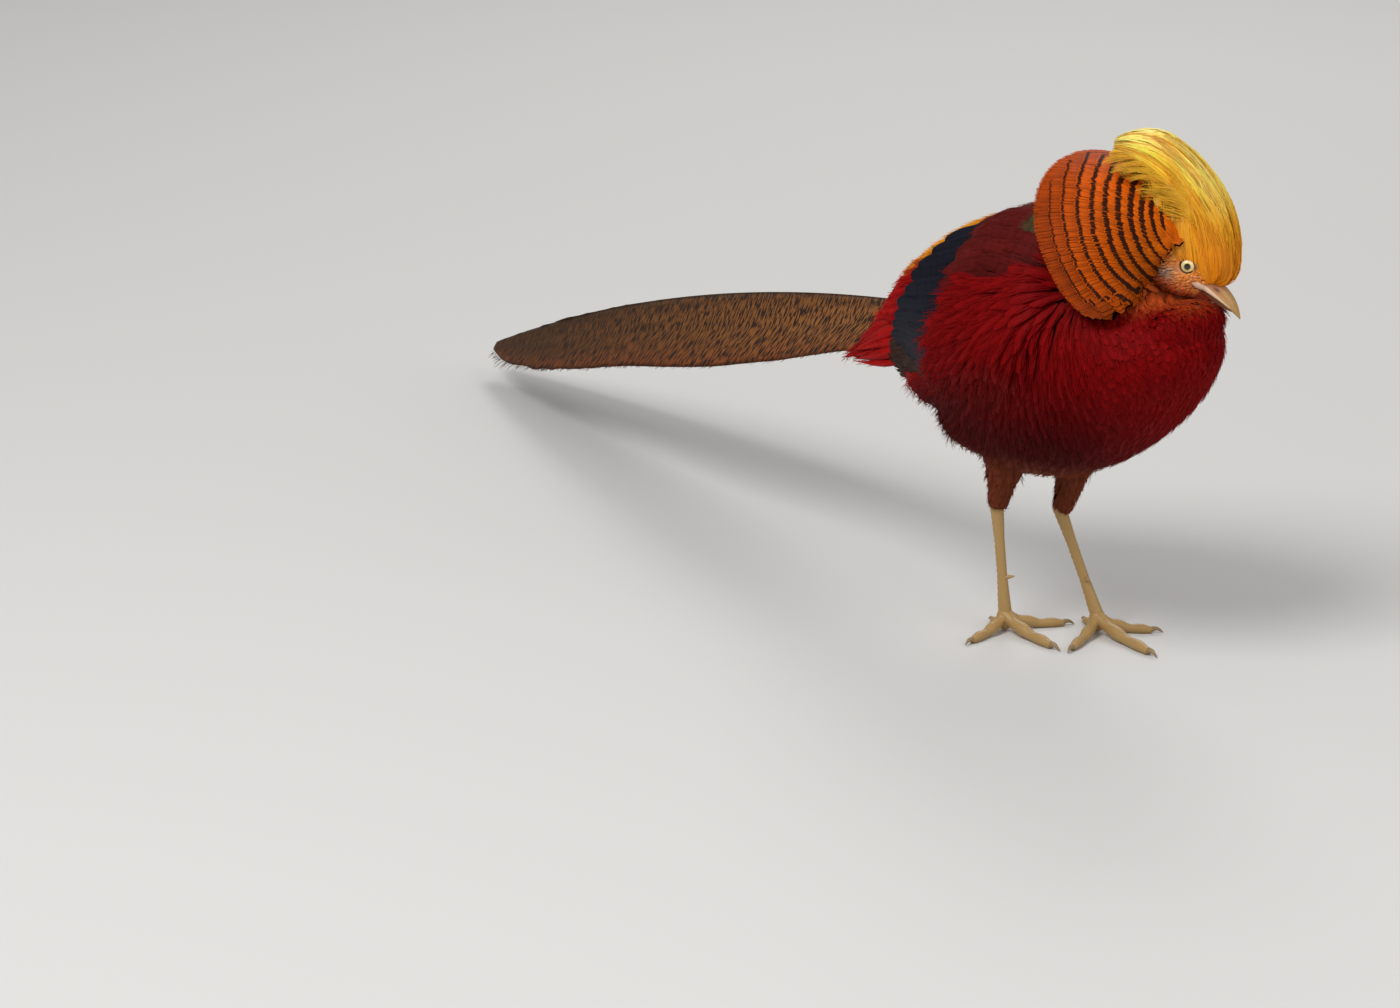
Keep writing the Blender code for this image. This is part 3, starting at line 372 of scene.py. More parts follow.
def crest_surface(share: Array, angle: Array) -> Array:
    """Points of the crest's envelope: share along its spine, angle from its top, positive on the left."""
    share, angle = np.broadcast_arrays(np.asarray(share, float), np.asarray(angle, float))
    f, u, half, high, deep = CREST(share)
    near, far = CREST(np.maximum(0.0, share - 0.01)), CREST(np.minimum(1.0, share + 0.01))
    lead = unit(FORWARD * (far[0] - near[0])[..., None] + UP * (far[1] - near[1])[..., None])
    up = np.cross(LEFT, lead)
    turn = np.radians(angle)
    rise = np.cos(turn)
    reach = np.where(rise > 0, high, deep) * rise
    beyond = np.maximum(0.0, share - 1.0) * 0.10
    return (
        head_point(f, 0.0, u) + lead * beyond[..., None]
        + LEFT * (half * np.sin(turn))[..., None] + up * reach[..., None]
    )


def surface_frame(lay: Surface, u: Array, v: Array) -> tuple[Array, Array]:
    """Points of a surface and their normals, which point outwards where u runs forward and v to the left."""
    across = lay(u + 0.0005, v) - lay(u - 0.0005, v)
    along = lay(u, v + 0.05) - lay(u, v - 0.05)
    return lay(u, v), unit(np.cross(across, along))


def footprint_depth(x: Array, angle: Array) -> Array:
    """How far inside the folded wing's outline a place on the body is, in metres. It is negative outside."""
    corners = np.array(WING_OUTLINE, float)
    corners[:, 1] = np.radians(corners[:, 1]) * ANGLE_METRES
    place = np.stack((x, np.radians(np.abs(angle)) * ANGLE_METRES), -1)
    inside = np.zeros(x.shape, bool)
    nearest = np.full(x.shape, np.inf)
    for a, b in zip(corners, np.roll(corners, -1, axis=0)):
        way = b - a
        share = np.clip(((place - a) @ way) / (way @ way), 0.0, 1.0)
        nearest = np.minimum(nearest, np.linalg.norm(place - a - share[..., None] * way, axis=-1))
        crosses = (a[1] > place[..., 1]) != (b[1] > place[..., 1])
        rise = way[1] if way[1] != 0 else 1e-9
        inside ^= crosses & (place[..., 0] < way[0] * (place[..., 1] - a[1]) / rise + a[0])
    return np.where(inside, nearest, -nearest)


def wing_height(x: Array, angle: Array) -> Array:
    """How high the folded wing stands over the body's skin."""
    thin = 1 - 0.66 * ease(-x, 0.045, 0.120)
    return 0.0125 * ease(footprint_depth(x, angle), -0.006, 0.022) * thin


@dataclass
class Line:
    """A batch of paths, each of the same count of stations, with the way across and the outward normal."""

    centres: Array
    sides: Array
    normals: Array

    @classmethod
    def through(cls, centres: Array, normals: Array, tilt: Array | float = 0.0) -> "Line":
        """Paths through centres, with the sides set square to the run of each path and turned by tilt.

        Args:
            centres: Places for each path and station.
            normals: Outward ways, which are broadcast over the places.
            tilt: The turn of the sides round each path, in degrees.

        Returns:
            The paths.
        """
        ahead = unit(np.gradient(centres, axis=1))
        normals = unit(normals - ahead * dot(normals, ahead))
        sides = np.cross(ahead, normals)
        turn = np.broadcast_to(np.radians(tilt), centres.shape[:2])[..., None]
        turned = normals * np.cos(turn) + sides * np.sin(turn)
        return cls(centres, np.cross(ahead, turned), turned)

    def at(self, feather: Array, share: Array) -> tuple[Array, Array, Array, Array]:
        """The centre, ahead, side and normal of paths at shares of their length."""
        last = self.centres.shape[1] - 1
        place = np.clip(share, 0.0, 1.0) * last
        i = np.minimum(place.astype(int), last - 1)
        part = (place - i)[..., None]
        centre = self.centres[feather, i] * (1 - part) + self.centres[feather, i + 1] * part
        ahead = unit(self.centres[feather, i + 1] - self.centres[feather, i])
        return centre, ahead, self.sides[feather, i], self.normals[feather, i]


SPLINTER = np.array(((-1.0, 0.0), (0.0, 1.0), (1.0, 0.0)))
VANE = np.array(((-1.0, 0.0), (-0.5, 0.6), (0.0, 1.0), (0.5, 0.6), (1.0, 0.0), (0.0, -0.4)))
BROAD = np.array((
    (-1.0, 0.0), (-0.82, 0.35), (-0.45, 0.5), (-0.06, 0.6), (0.0, 1.5), (0.06, 0.6), (0.45, 0.5), (0.82, 0.35),
    (1.0, 0.0), (0.5, -0.4), (0.0, -0.8), (-0.5, -0.4),
))
ROUND = np.array([(math.sin(t), math.cos(t)) for t in np.linspace(-math.pi, math.pi, 9)[:-1]])


def grid_faces(rows: int, columns: int) -> list[Array]:
    """The quads of a grid that is closed round its columns, and the caps at both ends."""
    ring, turn = np.meshgrid(np.arange(rows - 1), np.arange(columns), indexing="ij")
    after = (turn + 1) % columns
    quads = np.stack((
        ring * columns + turn, ring * columns + after, (ring + 1) * columns + after, (ring + 1) * columns + turn,
    ), -1).reshape(-1, 4)
    first = np.arange(columns)[::-1]
    return [quads, np.stack((first, first[::-1] + (rows - 1) * columns))]


@dataclass
class Coat:
    """Gathers thin swept shapes and makes them one mesh with tints and two UV maps."""

    name: str
    slot: str
    material: bpy.types.Material
    replaces: tuple[str, ...] = ()
    points: list[Array] = field(default_factory=list)
    faces: list[Array] = field(default_factory=list)
    tints: list[Array] = field(default_factory=list)
    marks: list[Array] = field(default_factory=list)
    barbs: list[Array] = field(default_factory=list)
    bakes: list[Array] = field(default_factory=list)
    shades: list[Array] = field(default_factory=list)
    used: int = 0
    soft: float = 0.0

    def sweep(
        self, line: Line, half: Array, thick: Array | float, section: Array, tint: Array, home: Array,
        camber: float = 0.0, mark: Array | None = None, patch: tuple[float, float] = (BAKE_PATCH, BAKE_PATCH),
        metres: bool = False,
    ) -> None:
        """Sweeps a section along every path.

        Args:
            line: The paths.
            half: Half widths, for each path and station.
            thick: Thicknesses, for each path and station, or one for all.
            section: The section's points, as shares of the half width and the thickness.
            tint: Colours, one for each path, or for each path and station, or for each point.
            home: Where each path's root is on the unwrap, from 0 to 1 each way.
            camber: How far the edges drop, as a share of the half width.
            mark: Three marking values for each path.
            patch: The size of each path's patch on the unwrap.
            metres: Whether the barb map is in metres instead of shares.
        """
        count, stations = line.centres.shape[:2]
        sides = len(section)
        half = np.broadcast_to(half, (count, stations))
        thick = np.broadcast_to(thick, (count, stations))
        across, rise = section[:, 0], section[:, 1]
        lift = thick[..., None] * rise - camber * half[..., None] * across**2
        points = (
            line.centres[:, :, None]
            + line.sides[:, :, None] * (half[..., None] * across)[..., None]
            + line.normals[:, :, None] * lift[..., None]
        )
        share = np.linspace(0.0, 1.0, stations)
        tint = np.asarray(tint, float)
        if tint.ndim == 2:
            tint = tint[:, None]
        if tint.ndim == 3:
            tint = tint[:, :, None]
        mark = np.zeros((count, 3)) if mark is None else mark
        steps = np.linalg.norm(np.diff(line.centres, axis=1), axis=-1)
        run = np.concatenate((np.zeros((count, 1)), np.cumsum(steps, axis=1)), axis=1)
        place = np.empty((count, stations, sides, 2))
        place[..., 0] = across * half[..., None] if metres else across
        place[..., 1] = (run if metres else np.broadcast_to(share, run.shape))[..., None]
        bake = np.empty((count, stations, sides, 2))
        bake[..., 0] = np.clip(home[:, 0, None, None] + patch[0] * across / 2, 0, 1)
        bake[..., 1] = np.clip(home[:, 1, None, None] + patch[1] * share[:, None], 0, 1)
        starts = self.used + np.arange(count) * stations * sides
        for part in grid_faces(stations, sides):
            self.faces.append((starts[:, None, None] + part).reshape(-1, part.shape[1]))
        self.points.append(points.reshape(-1, 3))
        self.tints.append(np.broadcast_to(tint, points.shape).reshape(-1, 3))
        self.marks.append(np.broadcast_to(mark[:, None, None], points.shape).reshape(-1, 3))
        self.barbs.append(place.reshape(-1, 2))
        self.bakes.append(bake.reshape(-1, 2))
        if self.soft:
            leant = line.normals[:, :, None] + line.sides[:, :, None] * (across * (1 - self.soft))[:, None]
            self.shades.append(unit(leant).reshape(-1, 3))
        self.used += count * stations * sides

    def build(self) -> bpy.types.Object:
        item = mesh_piece(
            self.name, self.slot, self.material, np.concatenate(self.points), self.faces,
            np.concatenate(self.tints), np.concatenate(self.marks), np.concatenate(self.barbs),
            np.concatenate(self.bakes), self.replaces,
        )
        if self.soft:
            item.data.normals_split_custom_set_from_vertices(np.concatenate(self.shades).astype(np.float32))
        return item


def mesh_piece(
    name: str, slot: str, material: bpy.types.Material, points: Array, faces: Sequence[Array],
    tint: Array, mark: Array | None = None, barbs: Array | None = None, bakes: Array | None = None,
    replaces: Sequence[str] = (),
) -> bpy.types.Object:
    """Args:
        name: The piece's name.
        slot: Not used.
        material: Its material.
        points: Vertices in the bird frame.
        faces: Arrays of faces, each of one count of corners.
        tint: A colour for each vertex.
        mark: Three marking values for each vertex.
        barbs: The barb map's place of each vertex.
        bakes: The bake map's place of each vertex.
        replaces: The nodes of the solids that it stands for.

    Returns:
        The object.
    """
    mesh = bpy.data.meshes.new(name)
    corners = np.concatenate([part.reshape(-1) for part in faces]).astype(np.int32)
    sizes = np.concatenate([np.full(len(part), part.shape[1]) for part in faces])
    starts = np.concatenate(([0], np.cumsum(sizes)[:-1])).astype(np.int32)
    mesh.vertices.add(len(points))
    mesh.vertices.foreach_set("co", (points + SHIFT).astype(np.float32).reshape(-1))
    mesh.loops.add(len(corners))
    mesh.loops.foreach_set("vertex_index", corners)
    mesh.polygons.add(len(starts))
    mesh.polygons.foreach_set("loop_start", starts)
    mesh.polygons.foreach_set("use_smooth", np.ones(len(starts), bool))
    mesh.update(calc_edges=True)
    for key, values in (("tint", tint), ("mark", mark)):
        if values is None:
            continue
        full = np.concatenate((np.clip(values, 0.0, 1.0), np.ones((len(points), 1))), axis=1)
        layer = mesh.color_attributes.new(key, "FLOAT_COLOR", "POINT")
        layer.data.foreach_set("color", full.astype(np.float32).reshape(-1))
    for key, values in (("OFBake", bakes), ("Barbs", barbs)):
        if values is None:
            continue
        layer = mesh.uv_layers.new(name=key)
        layer.data.foreach_set("uv", values[corners].astype(np.float32).reshape(-1))
    mesh.materials.append(material)
    mesh.validate()
    item = bpy.data.objects.new(name, mesh)
    bpy.context.scene.collection.objects.link(item)
    return declare(item, slot, replaces)


def declare(item: bpy.types.Object, slot: str, replaces: Sequence[str] = ()) -> bpy.types.Object:
    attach(item, "root")
    if replaces:
        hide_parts(*replaces)
    triangles = sum(len(p.vertices) - 2 for p in item.data.polygons)
    LOG.info("%s: %d triangles", item.name, triangles)
    return item


def feather_width(share: Array, square: bool = False) -> Array:
    """A feather's half width at a share of its length, as a share of its widest."""
    rise = np.minimum(1.0, 0.45 + 0.55 * share / (0.55 if square else 0.32))
    start = 0.84 if square else 0.55
    fall = np.sqrt(np.clip(1 - (np.maximum(0.0, share - start) / (1.02 - start)) ** 2, 0.0, 1.0))
    return np.maximum(0.10, np.minimum(rise, fall))


@dataclass(frozen=True)
class Fringe:
    """Loose barbs that stand past a feather's edge: how many, over which shares, and how they run."""

    count: int
    reach: tuple[float, float]
    spread: tuple[float, float]
    length: tuple[float, float]
    half: float
    rise: float = 0.0006
    stations: int = 3


def add_fringe(
    coat: Coat, line: Line, fringe: Fringe, width: Array, tint: Array, home: Array, draw: np.random.Generator,
) -> None:
    """Adds loose barbs along feathers.

    Args:
        coat: Where they are gathered.
        line: The feathers' paths.
        fringe: The barbs' sizes.
        width: Each feather's widest half width.
        tint: Each feather's colour.
        home: Each feather's place on the unwrap.
        draw: The source of chance.
    """
    count = len(line.centres)
    feather = np.repeat(np.arange(count), fringe.count)
    total = len(feather)
    share = draw.uniform(*fringe.reach, total)
    centre, ahead, side, normal = line.at(feather, share)
    hand = np.where(np.arange(total) % 2, 1.0, -1.0)
    spread = np.radians(draw.uniform(*fringe.spread, total)) * hand
    way = ahead * np.cos(spread)[:, None] + side * np.sin(spread)[:, None]
    length = draw.uniform(*fringe.length, total)
    inset = (width[feather] * feather_width(share) * 0.55 * hand)[:, None]
    steps = np.linspace(0.0, 1.0, fringe.stations)[None, :, None]
    run = centre[:, None] + side[:, None] * inset[:, None] + way[:, None] * length[:, None, None] * steps
    rise = fringe.rise * draw.uniform(0.2, 1.0, total)[:, None, None]
    run = run + normal[:, None] * (0.0002 + rise * np.sin(steps * 2.2))
    strands = Line.through(run, normal[:, None])
    half = fringe.half * np.linspace(1.0, 0.25, fringe.stations)
    shade = tint[feather] * draw.uniform(0.7, 1.35, total)[:, None]
    coat.sweep(strands, half, half * 1.2, SPLINTER, shade, home[feather])


class Shaders:
    """Makes the node groups and materials."""

    def __init__(self) -> None:
        self.barb = self.barb_group()
        self.band = self.band_group()
        self.mottle = self.mottle_group()

    @staticmethod
    def group(name: str, inputs: dict[str, float], outputs: Sequence[str]) -> tuple:
        """An empty node group with float sockets, and its two end nodes."""
        tree = bpy.data.node_groups.new(name, "ShaderNodeTree")
        for key, value in inputs.items():
            tree.interface.new_socket(key, in_out="INPUT", socket_type="NodeSocketFloat").default_value = value
        for key in outputs:
            tree.interface.new_socket(key, in_out="OUTPUT", socket_type="NodeSocketFloat")
        return tree, tree.nodes.new("NodeGroupInput"), tree.nodes.new("NodeGroupOutput")

    @staticmethod
    def node(
        tree: bpy.types.NodeTree, kind: str, inputs: dict[int | str, object] | None = None, **settings: object,
    ) -> bpy.types.Node:
        """A new node.

        Args:
            tree: Where it goes.
            kind: Its type's name without the prefix.
            inputs: For each input a socket to link from, or a value.
            settings: The node's own settings.

        Returns:
            The node.
        """
        node = tree.nodes.new("ShaderNode" + kind)
        for key, value in settings.items():
            setattr(node, key, value)
        for key, value in (inputs or {}).items():
            if isinstance(value, bpy.types.NodeSocket):
                tree.links.new(value, node.inputs[key])
            else:
                node.inputs[key].default_value = value
        return node

    def maths(self, tree: bpy.types.NodeTree, kind: str, a: object, b: object = 0.0, clamp: bool = False) -> object:
        """One Math node's result. An operand is a socket or a number."""
        return self.node(tree, "Math", {0: a, 1: b}, operation=kind, use_clamp=clamp).outputs[0]

    def barb_place(self, tree: bpy.types.NodeTree) -> tuple:
        """The barb map's two coordinates."""
        place = self.node(tree, "UVMap", uv_map="Barbs")
        parts = self.node(tree, "SeparateXYZ", {0: place.outputs[0]})
        return parts.outputs[0], parts.outputs[1]

    def noise(self, tree: bpy.types.NodeTree, x: object, y: object, detail: float = 2.0) -> object:
        """Noise over two coordinates, from 0 to 1."""
        vector = self.node(tree, "CombineXYZ", {0: x, 1: y}).outputs[0]
        return self.node(tree, "TexNoise", {"Scale": 1.0, "Detail": detail, "Vector": vector}).outputs[0]

    def barb_group(self) -> bpy.types.NodeTree:
        """Fine barbs that run outwards and forwards from the shaft, as a brightness and a height."""
        tree, start, end = self.group("barb_lines", {"Lines": 14.0, "Strength": 0.3}, ("Shade", "Height"))
        across, along = self.barb_place(tree)
        slant = self.maths(tree, "MULTIPLY", self.maths(tree, "ABSOLUTE", across), -0.35)
        run = self.maths(tree, "MULTIPLY", self.maths(tree, "ADD", along, slant), start.outputs["Lines"])
        seen = self.noise(tree, self.maths(tree, "MULTIPLY", across, 1.2), run)
        height = self.maths(tree, "SUBTRACT", seen, 0.5)
        shade = self.maths(tree, "MULTIPLY", self.maths(tree, "MULTIPLY", height, 3.0), start.outputs["Strength"])
        tree.links.new(self.maths(tree, "ADD", shade, 1.0), end.inputs["Shade"])
        tree.links.new(seen, end.inputs["Height"])
        return tree

    def band_group(self) -> bpy.types.NodeTree:
        """A band across a feather between two shares of its length."""
        tree, start, end = self.group("tip_band", {"From": 0.8, "To": 0.9, "Soft": 0.02}, ("Mask",))
        across, along = self.barb_place(tree)
        wave = self.maths(tree, "MULTIPLY", self.maths(tree, "MULTIPLY", across, across), 0.05)
        place = self.maths(tree, "ADD", along, wave)
        near = self.maths(tree, "SUBTRACT", place, start.outputs["From"])
        far = self.maths(tree, "SUBTRACT", start.outputs["To"], place)
        near = self.maths(tree, "DIVIDE", near, start.outputs["Soft"], True)
        far = self.maths(tree, "DIVIDE", far, start.outputs["Soft"], True)
        tree.links.new(self.maths(tree, "MULTIPLY", near, far), end.inputs["Mask"])
        return tree

    def mottle_group(self) -> bpy.types.NodeTree:
        """Short wavy streaks across a feather, on a barb map in metres."""
        tree, start, end = self.group(
            "vermiculation", {"Across": 110.0, "Along": 520.0, "Cut": 0.5, "Soft": 0.06}, ("Mask",),
        )
        across, along = self.barb_place(tree)
        wide = self.maths(tree, "MULTIPLY", across, start.outputs["Across"])
        slant = self.maths(tree, "MULTIPLY", self.maths(tree, "ABSOLUTE", across), -0.30)
        deep = self.maths(tree, "MULTIPLY", self.maths(tree, "ADD", along, slant), start.outputs["Along"])
        seen = self.noise(tree, wide, deep, 1.0)
        over = self.maths(tree, "SUBTRACT", seen, start.outputs["Cut"])
        tree.links.new(self.maths(tree, "DIVIDE", over, start.outputs["Soft"], True), end.inputs["Mask"])
        return tree

    def plumage(
        self, name: str, finish: Finish, bars: bool = False, mottle: tuple[Colour, dict] | None = None,
    ) -> bpy.types.Material:
        """A feather material, coloured by the tint attribute.

        Args:
            name: The material's name.
            finish: How it takes light.
            bars: Whether dark bars follow the mark attribute.
            mottle: A second colour and the settings of the streaks that carry it.

        Returns:
            The material.
        """
        made, tree, shader, colour = self.surface(name, finish, 0.35)
        shader.inputs["Sheen Roughness"].default_value = 0.4
        shader.inputs["Sheen Tint"].default_value = (*finish.glow, 1.0)
        if mottle:
            second, settings = mottle
            streaks = self.node(tree, "Group", node_tree=self.mottle)
            for key, value in settings.items():
                streaks.inputs[key].default_value = value
            colour = self.blend(tree, streaks.outputs["Mask"], colour, second)
        if bars:
            mark = self.node(tree, "Attribute", attribute_name="mark")
            near, far, dark = self.node(tree, "SeparateColor", {0: mark.outputs["Color"]}).outputs
            band = self.node(tree, "Group", node_tree=self.band)
            band.inputs["Soft"].default_value = 0.035
            tree.links.new(near, band.inputs["From"])
            tree.links.new(far, band.inputs["To"])
            colour = self.blend(tree, self.maths(tree, "MULTIPLY", band.outputs[0], dark), colour, Tone.BAR.value)
        lines = self.node(tree, "Group", node_tree=self.barb)
        lines.inputs["Lines"].default_value = finish.lines
        lines.inputs["Strength"].default_value = finish.streak
        self.relief(tree, shader, colour, lines.outputs["Shade"], lines.outputs["Height"], 0.6, finish.relief)
        return made

    def skin(self, name: str, finish: Finish, grain: float = 900.0) -> bpy.types.Material:
        """A bare surface, coloured by the tint attribute, with fine grain in object space."""
        made, tree, shader, colour = self.surface(name, finish, 0.15)
        place = self.node(tree, "TexCoord").outputs["Object"]
        noise = self.node(tree, "TexNoise", {"Scale": grain, "Detail": 3.0, "Vector": place}).outputs[0]
        shade = self.maths(tree, "MULTIPLY", noise, finish.streak * 2)
        shade = self.maths(tree, "ADD", shade, 1 - finish.streak)
        self.relief(tree, shader, colour, shade, noise, 0.5, finish.relief)
        return made

    def surface(self, name: str, finish: Finish, gloss: float) -> tuple:
        """A new material with a finish, its tree and shader, and the tint. gloss is the coat's roughness."""
        made = bpy.data.materials.new(name)
        made.use_nodes = True
        tree = made.node_tree
        shader = tree.nodes["Principled BSDF"]
        for key, value in (
            ("Roughness", finish.roughness), ("Sheen Weight", finish.sheen), ("Specular IOR Level", finish.specular),
            ("Coat Weight", finish.coat), ("Coat Roughness", gloss),
        ):
            shader.inputs[key].default_value = value
        return made, tree, shader, self.node(tree, "Attribute", attribute_name="tint").outputs["Color"]

    def relief(
        self, tree: bpy.types.NodeTree, shader: bpy.types.Node, colour: object, shade: object, height: object,
        strength: float, distance: float,
    ) -> None:
        """Links the colour and the bump to the shader.

        Args:
            tree: The material's tree.
            shader: Its shader.
            colour: The base colour's socket.
            shade: The brightness that it is multiplied by.
            height: The bump's height.
            strength: The bump's strength.
            distance: The bump's depth, in metres.
        """
        scale = self.node(tree, "VectorMath", {0: colour, "Scale": shade}, operation="SCALE")
        tree.links.new(scale.outputs[0], shader.inputs["Base Color"])
        bump = self.node(tree, "Bump", {"Strength": strength, "Distance": distance, "Height": height})
        tree.links.new(bump.outputs[0], shader.inputs["Normal"])

    def blend(self, tree: bpy.types.NodeTree, mask: object, base: object, over: Colour) -> object:
        """A colour mixed over another by a mask."""
        return self.node(tree, "Mix", {0: mask, 6: base, 7: (*over, 1.0)}, data_type="RGBA").outputs[2]


def plain_object(name: str, points: Array, faces: Sequence[Array]) -> bpy.types.Object:
    """A bare mesh object in the bird frame, used while shapes are joined."""
    mesh = bpy.data.meshes.new(name)
    mesh.from_pydata(points.reshape(-1, 3).tolist(), [], [f for part in faces for f in part.tolist()])
    item = bpy.data.objects.new(name, mesh)
    bpy.context.scene.collection.objects.link(item)
    work = bmesh.new()
    work.from_mesh(mesh)
    bmesh.ops.recalc_face_normals(work, faces=work.faces)
    work.to_mesh(mesh)
    work.free()
    return item


def baked(item: bpy.types.Object) -> bpy.types.Object:
    """The object with its modifiers applied."""
    graph = bpy.context.evaluated_depsgraph_get()
    mesh = bpy.data.meshes.new_from_object(item.evaluated_get(graph))
    item.modifiers.clear()
    item.data = mesh
    return item


def joined(items: Sequence[bpy.types.Object]) -> bpy.types.Object:
    """The first object, with the others' meshes joined into it."""
    bpy.ops.object.select_all(action="DESELECT")
    for item in items:
        item.select_set(True)
    bpy.context.view_layer.objects.active = items[0]
    bpy.ops.object.join()
    return items[0]


def vertices_of(item: bpy.types.Object) -> tuple[Array, Array]:
    """An object's vertices and their normals."""
    count = len(item.data.vertices)
    points, normals = np.empty(count * 3, np.float32), np.empty(count * 3, np.float32)
    item.data.vertices.foreach_get("co", points)
    item.data.vertex_normals.foreach_get("vector", normals)
    return points.reshape(-1, 3).astype(float), normals.reshape(-1, 3).astype(float)


class Form:
    """The outer shape of the body without wings, which the coat's feathers lie on."""

    VOXEL = 0.0022
    # Full places of the plumage, as a centre and radii: the top of the breast and the rear of each flank.
    SWELLS = (
        ((0.0945, 0.0020, 0.2250), (0.0150, 0.0300, 0.0135)),
        ((-0.070, -0.026, 0.157), (0.044, 0.022, 0.020)),
        ((-0.070, 0.026, 0.157), (0.044, 0.022, 0.020)),
        ((-0.047, -0.021, 0.139), (0.043, 0.025, 0.0245)),
        ((-0.047, 0.021, 0.139), (0.043, 0.025, 0.0245)),
    )
    # How far the rump drops under the root of the tail.
    SINK = 0.022
    # The places of the rings that the body's form is made from.
    RINGS = ((-0.199, 0.095, 90), (0.097, 0.109, 14))
    SMOOTHING = 9

    def __init__(self) -> None:
        x = np.concatenate([np.linspace(*span) for span in self.RINGS])
        turns = np.linspace(0, 360, 72, endpoint=False)
        places = body_surface(x[:, None], turns[None])
        upper = np.clip(np.cos(np.radians(turns)), 0, 1)
        places[..., 2] -= self.SINK * ease(-x, 0.132, 0.162)[:, None] * upper
        parts = [plain_object("form", places, grid_faces(len(x), len(turns)))]
        for centre, radii in self.SWELLS:
            bpy.ops.object.select_all(action="DESELECT")
            bpy.ops.mesh.primitive_uv_sphere_add(segments=32, ring_count=20, location=centre)
            bpy.context.object.scale = radii
            bpy.ops.object.transform_apply(location=True, rotation=False, scale=True)
            parts.append(bpy.context.object)
        for node in ("neck", "thigh_left", "thigh_right"):
            mesh = bpy.data.objects[node].data.copy()
            mesh.transform(Matrix.Translation(Vector(-SHIFT)))
            part = bpy.data.objects.new("part", mesh)
            bpy.context.scene.collection.objects.link(part)
            parts.append(part)
        self.item = joined(parts)
        remesh = self.item.modifiers.new("remesh", "REMESH")
        remesh.mode = "VOXEL"
        remesh.voxel_size = self.VOXEL
        smooth = self.item.modifiers.new("smooth", "SMOOTH")
        smooth.factor = 0.5
        smooth.iterations = self.SMOOTHING
        baked(self.item)
        self.points, self.normals = vertices_of(self.item)
        faces = [tuple(p.vertices) for p in self.item.data.polygons]
        self.tree = BVHTree.FromPolygons(self.points.tolist(), faces)
        self.face_normals = unit(np.array([self.normals[list(f)].mean(0) for f in faces]))
        LOG.info("form: %d vertices", len(self.points))

    def nearest(self, points: Array) -> tuple[Array, Array]:
        """The nearest places on the form and their smooth normals."""
        shape = points.shape
        found, normals = np.empty((len(points.reshape(-1, 3)), 3)), np.empty((len(points.reshape(-1, 3)), 3))
        for i, point in enumerate(points.reshape(-1, 3)):
            place, _, face, _ = self.tree.find_nearest(point)
            found[i] = place
            normals[i] = self.face_normals[face]
        return found.reshape(shape), normals.reshape(shape)

    def trace(self, roots: Array, ways: Array, lengths: Array, stations: int) -> tuple[Array, Array]:
        """Walks from the roots along the form.

        Args:
            roots: Starting points.
            ways: The way each walk leaves in.
            lengths: How long each walk is.
            stations: How many places to keep.

        Returns:
            Places and normals for each root and station.
        """
        place, normal = self.nearest(roots)
        places, normals = [place], [normal]
        way = unit(ways - normal * dot(ways, normal))
        step = (lengths / (stations - 1))[:, None]
        for _ in range(stations - 1):
            place, normal = self.nearest(place + way * step)
            way = unit(way - normal * dot(way, normal))
            places.append(place)
            normals.append(normal)
        return np.stack(places, 1), np.stack(normals, 1)


def scattered(points: Array, spacing: Array, draw: np.random.Generator) -> Array:
    """Indices of points kept so that no two are closer than their spacing, tried in a random order."""
    cell = float(spacing.max())
    kept: dict[tuple, list[int]] = {}
    keys = np.floor(points / cell).astype(int)
    chosen = []
    for i in draw.permutation(len(points)):
        x, y, z = keys[i]
        near = [
            j for a in (x - 1, x, x + 1) for b in (y - 1, y, y + 1) for c in (z - 1, z, z + 1)
            for j in kept.get((a, b, c), ())
        ]
        if near and (np.linalg.norm(points[near] - points[i], axis=1) < spacing[i]).any():
            continue
        kept.setdefault((x, y, z), []).append(i)
        chosen.append(i)
    return np.array(chosen)


def turned_home(angle: Array, share: Array) -> Array:
    """Places on the unwrap for an angle from -180 to 180 and a share from 0 to 1."""
    return np.stack(((angle + 180) / 360, share), -1)


def body_home(points: Array) -> Array:
    """Places on the unwrap for places on the body."""
    x, angle = body_place(points)
    return turned_home(angle, (x - UNWRAP[0]) / UNWRAP[1])


def root_shaded(tint: Array, low: float, high: float, stations: int) -> Array:
    """Colours for each station of each feather, from low times the tint at the root to high at the tip: painted shade
    towards the root, where it lies under the feathers before it.
    """
    return tint[:, None] * np.linspace(low, high, stations)[None, :, None]


def body_tint(points: Array) -> Array:
    """The coat's colour at places on the body, by region, with painted shade darkening the lower flanks and belly."""
    x, signed = body_place(points)
    angle = np.abs(signed)
    tint = np.broadcast_to(rgb(Tone.CRIMSON), points.shape).copy()
    # Painted shade: the lower flanks and the belly darken towards the underside.
    tint = mix(tint, rgb(Tone.SHADED_RED), 0.92 * ease(angle, 76, 132) * ease(-x, -0.105, -0.030))
    tint = mix(tint, rgb(Tone.BELLY), ease(angle, 138, 172) * ease(-x, -0.045, 0.03))
    tint = mix(tint, rgb(Tone.SCARLET), ease(-x, 0.085, 0.115) * (1 - ease(angle, 120, 165)))
    back = (1 - ease(angle, 34, 46)) * (1 - ease(-x, 0.118, 0.150)) * (1 - ease(x, -0.060, -0.046))
    tint = mix(tint, rgb(Tone.GOLD), back)
    top = (1 - ease(angle, 36, 46)) * (1 - ease(x, 0.045, 0.06))
    tint = mix(tint, rgb(Tone.MAROON), top * ease(x, -0.060, -0.046))
    tint = mix(tint, rgb(Tone.MANTLE), top * ease(x, -0.014, -0.004) * (1 - ease(angle, 27, 36)))
    throat = ease(x, 0.050, 0.070) * ease(points[..., 2], 0.233, 0.243)
    tint = mix(tint, rgb(Tone.THROAT), throat)
    leg = 1 - ease(points[..., 2], 0.112, 0.128)
    return mix(tint, rgb(Tone.THIGH), leg)


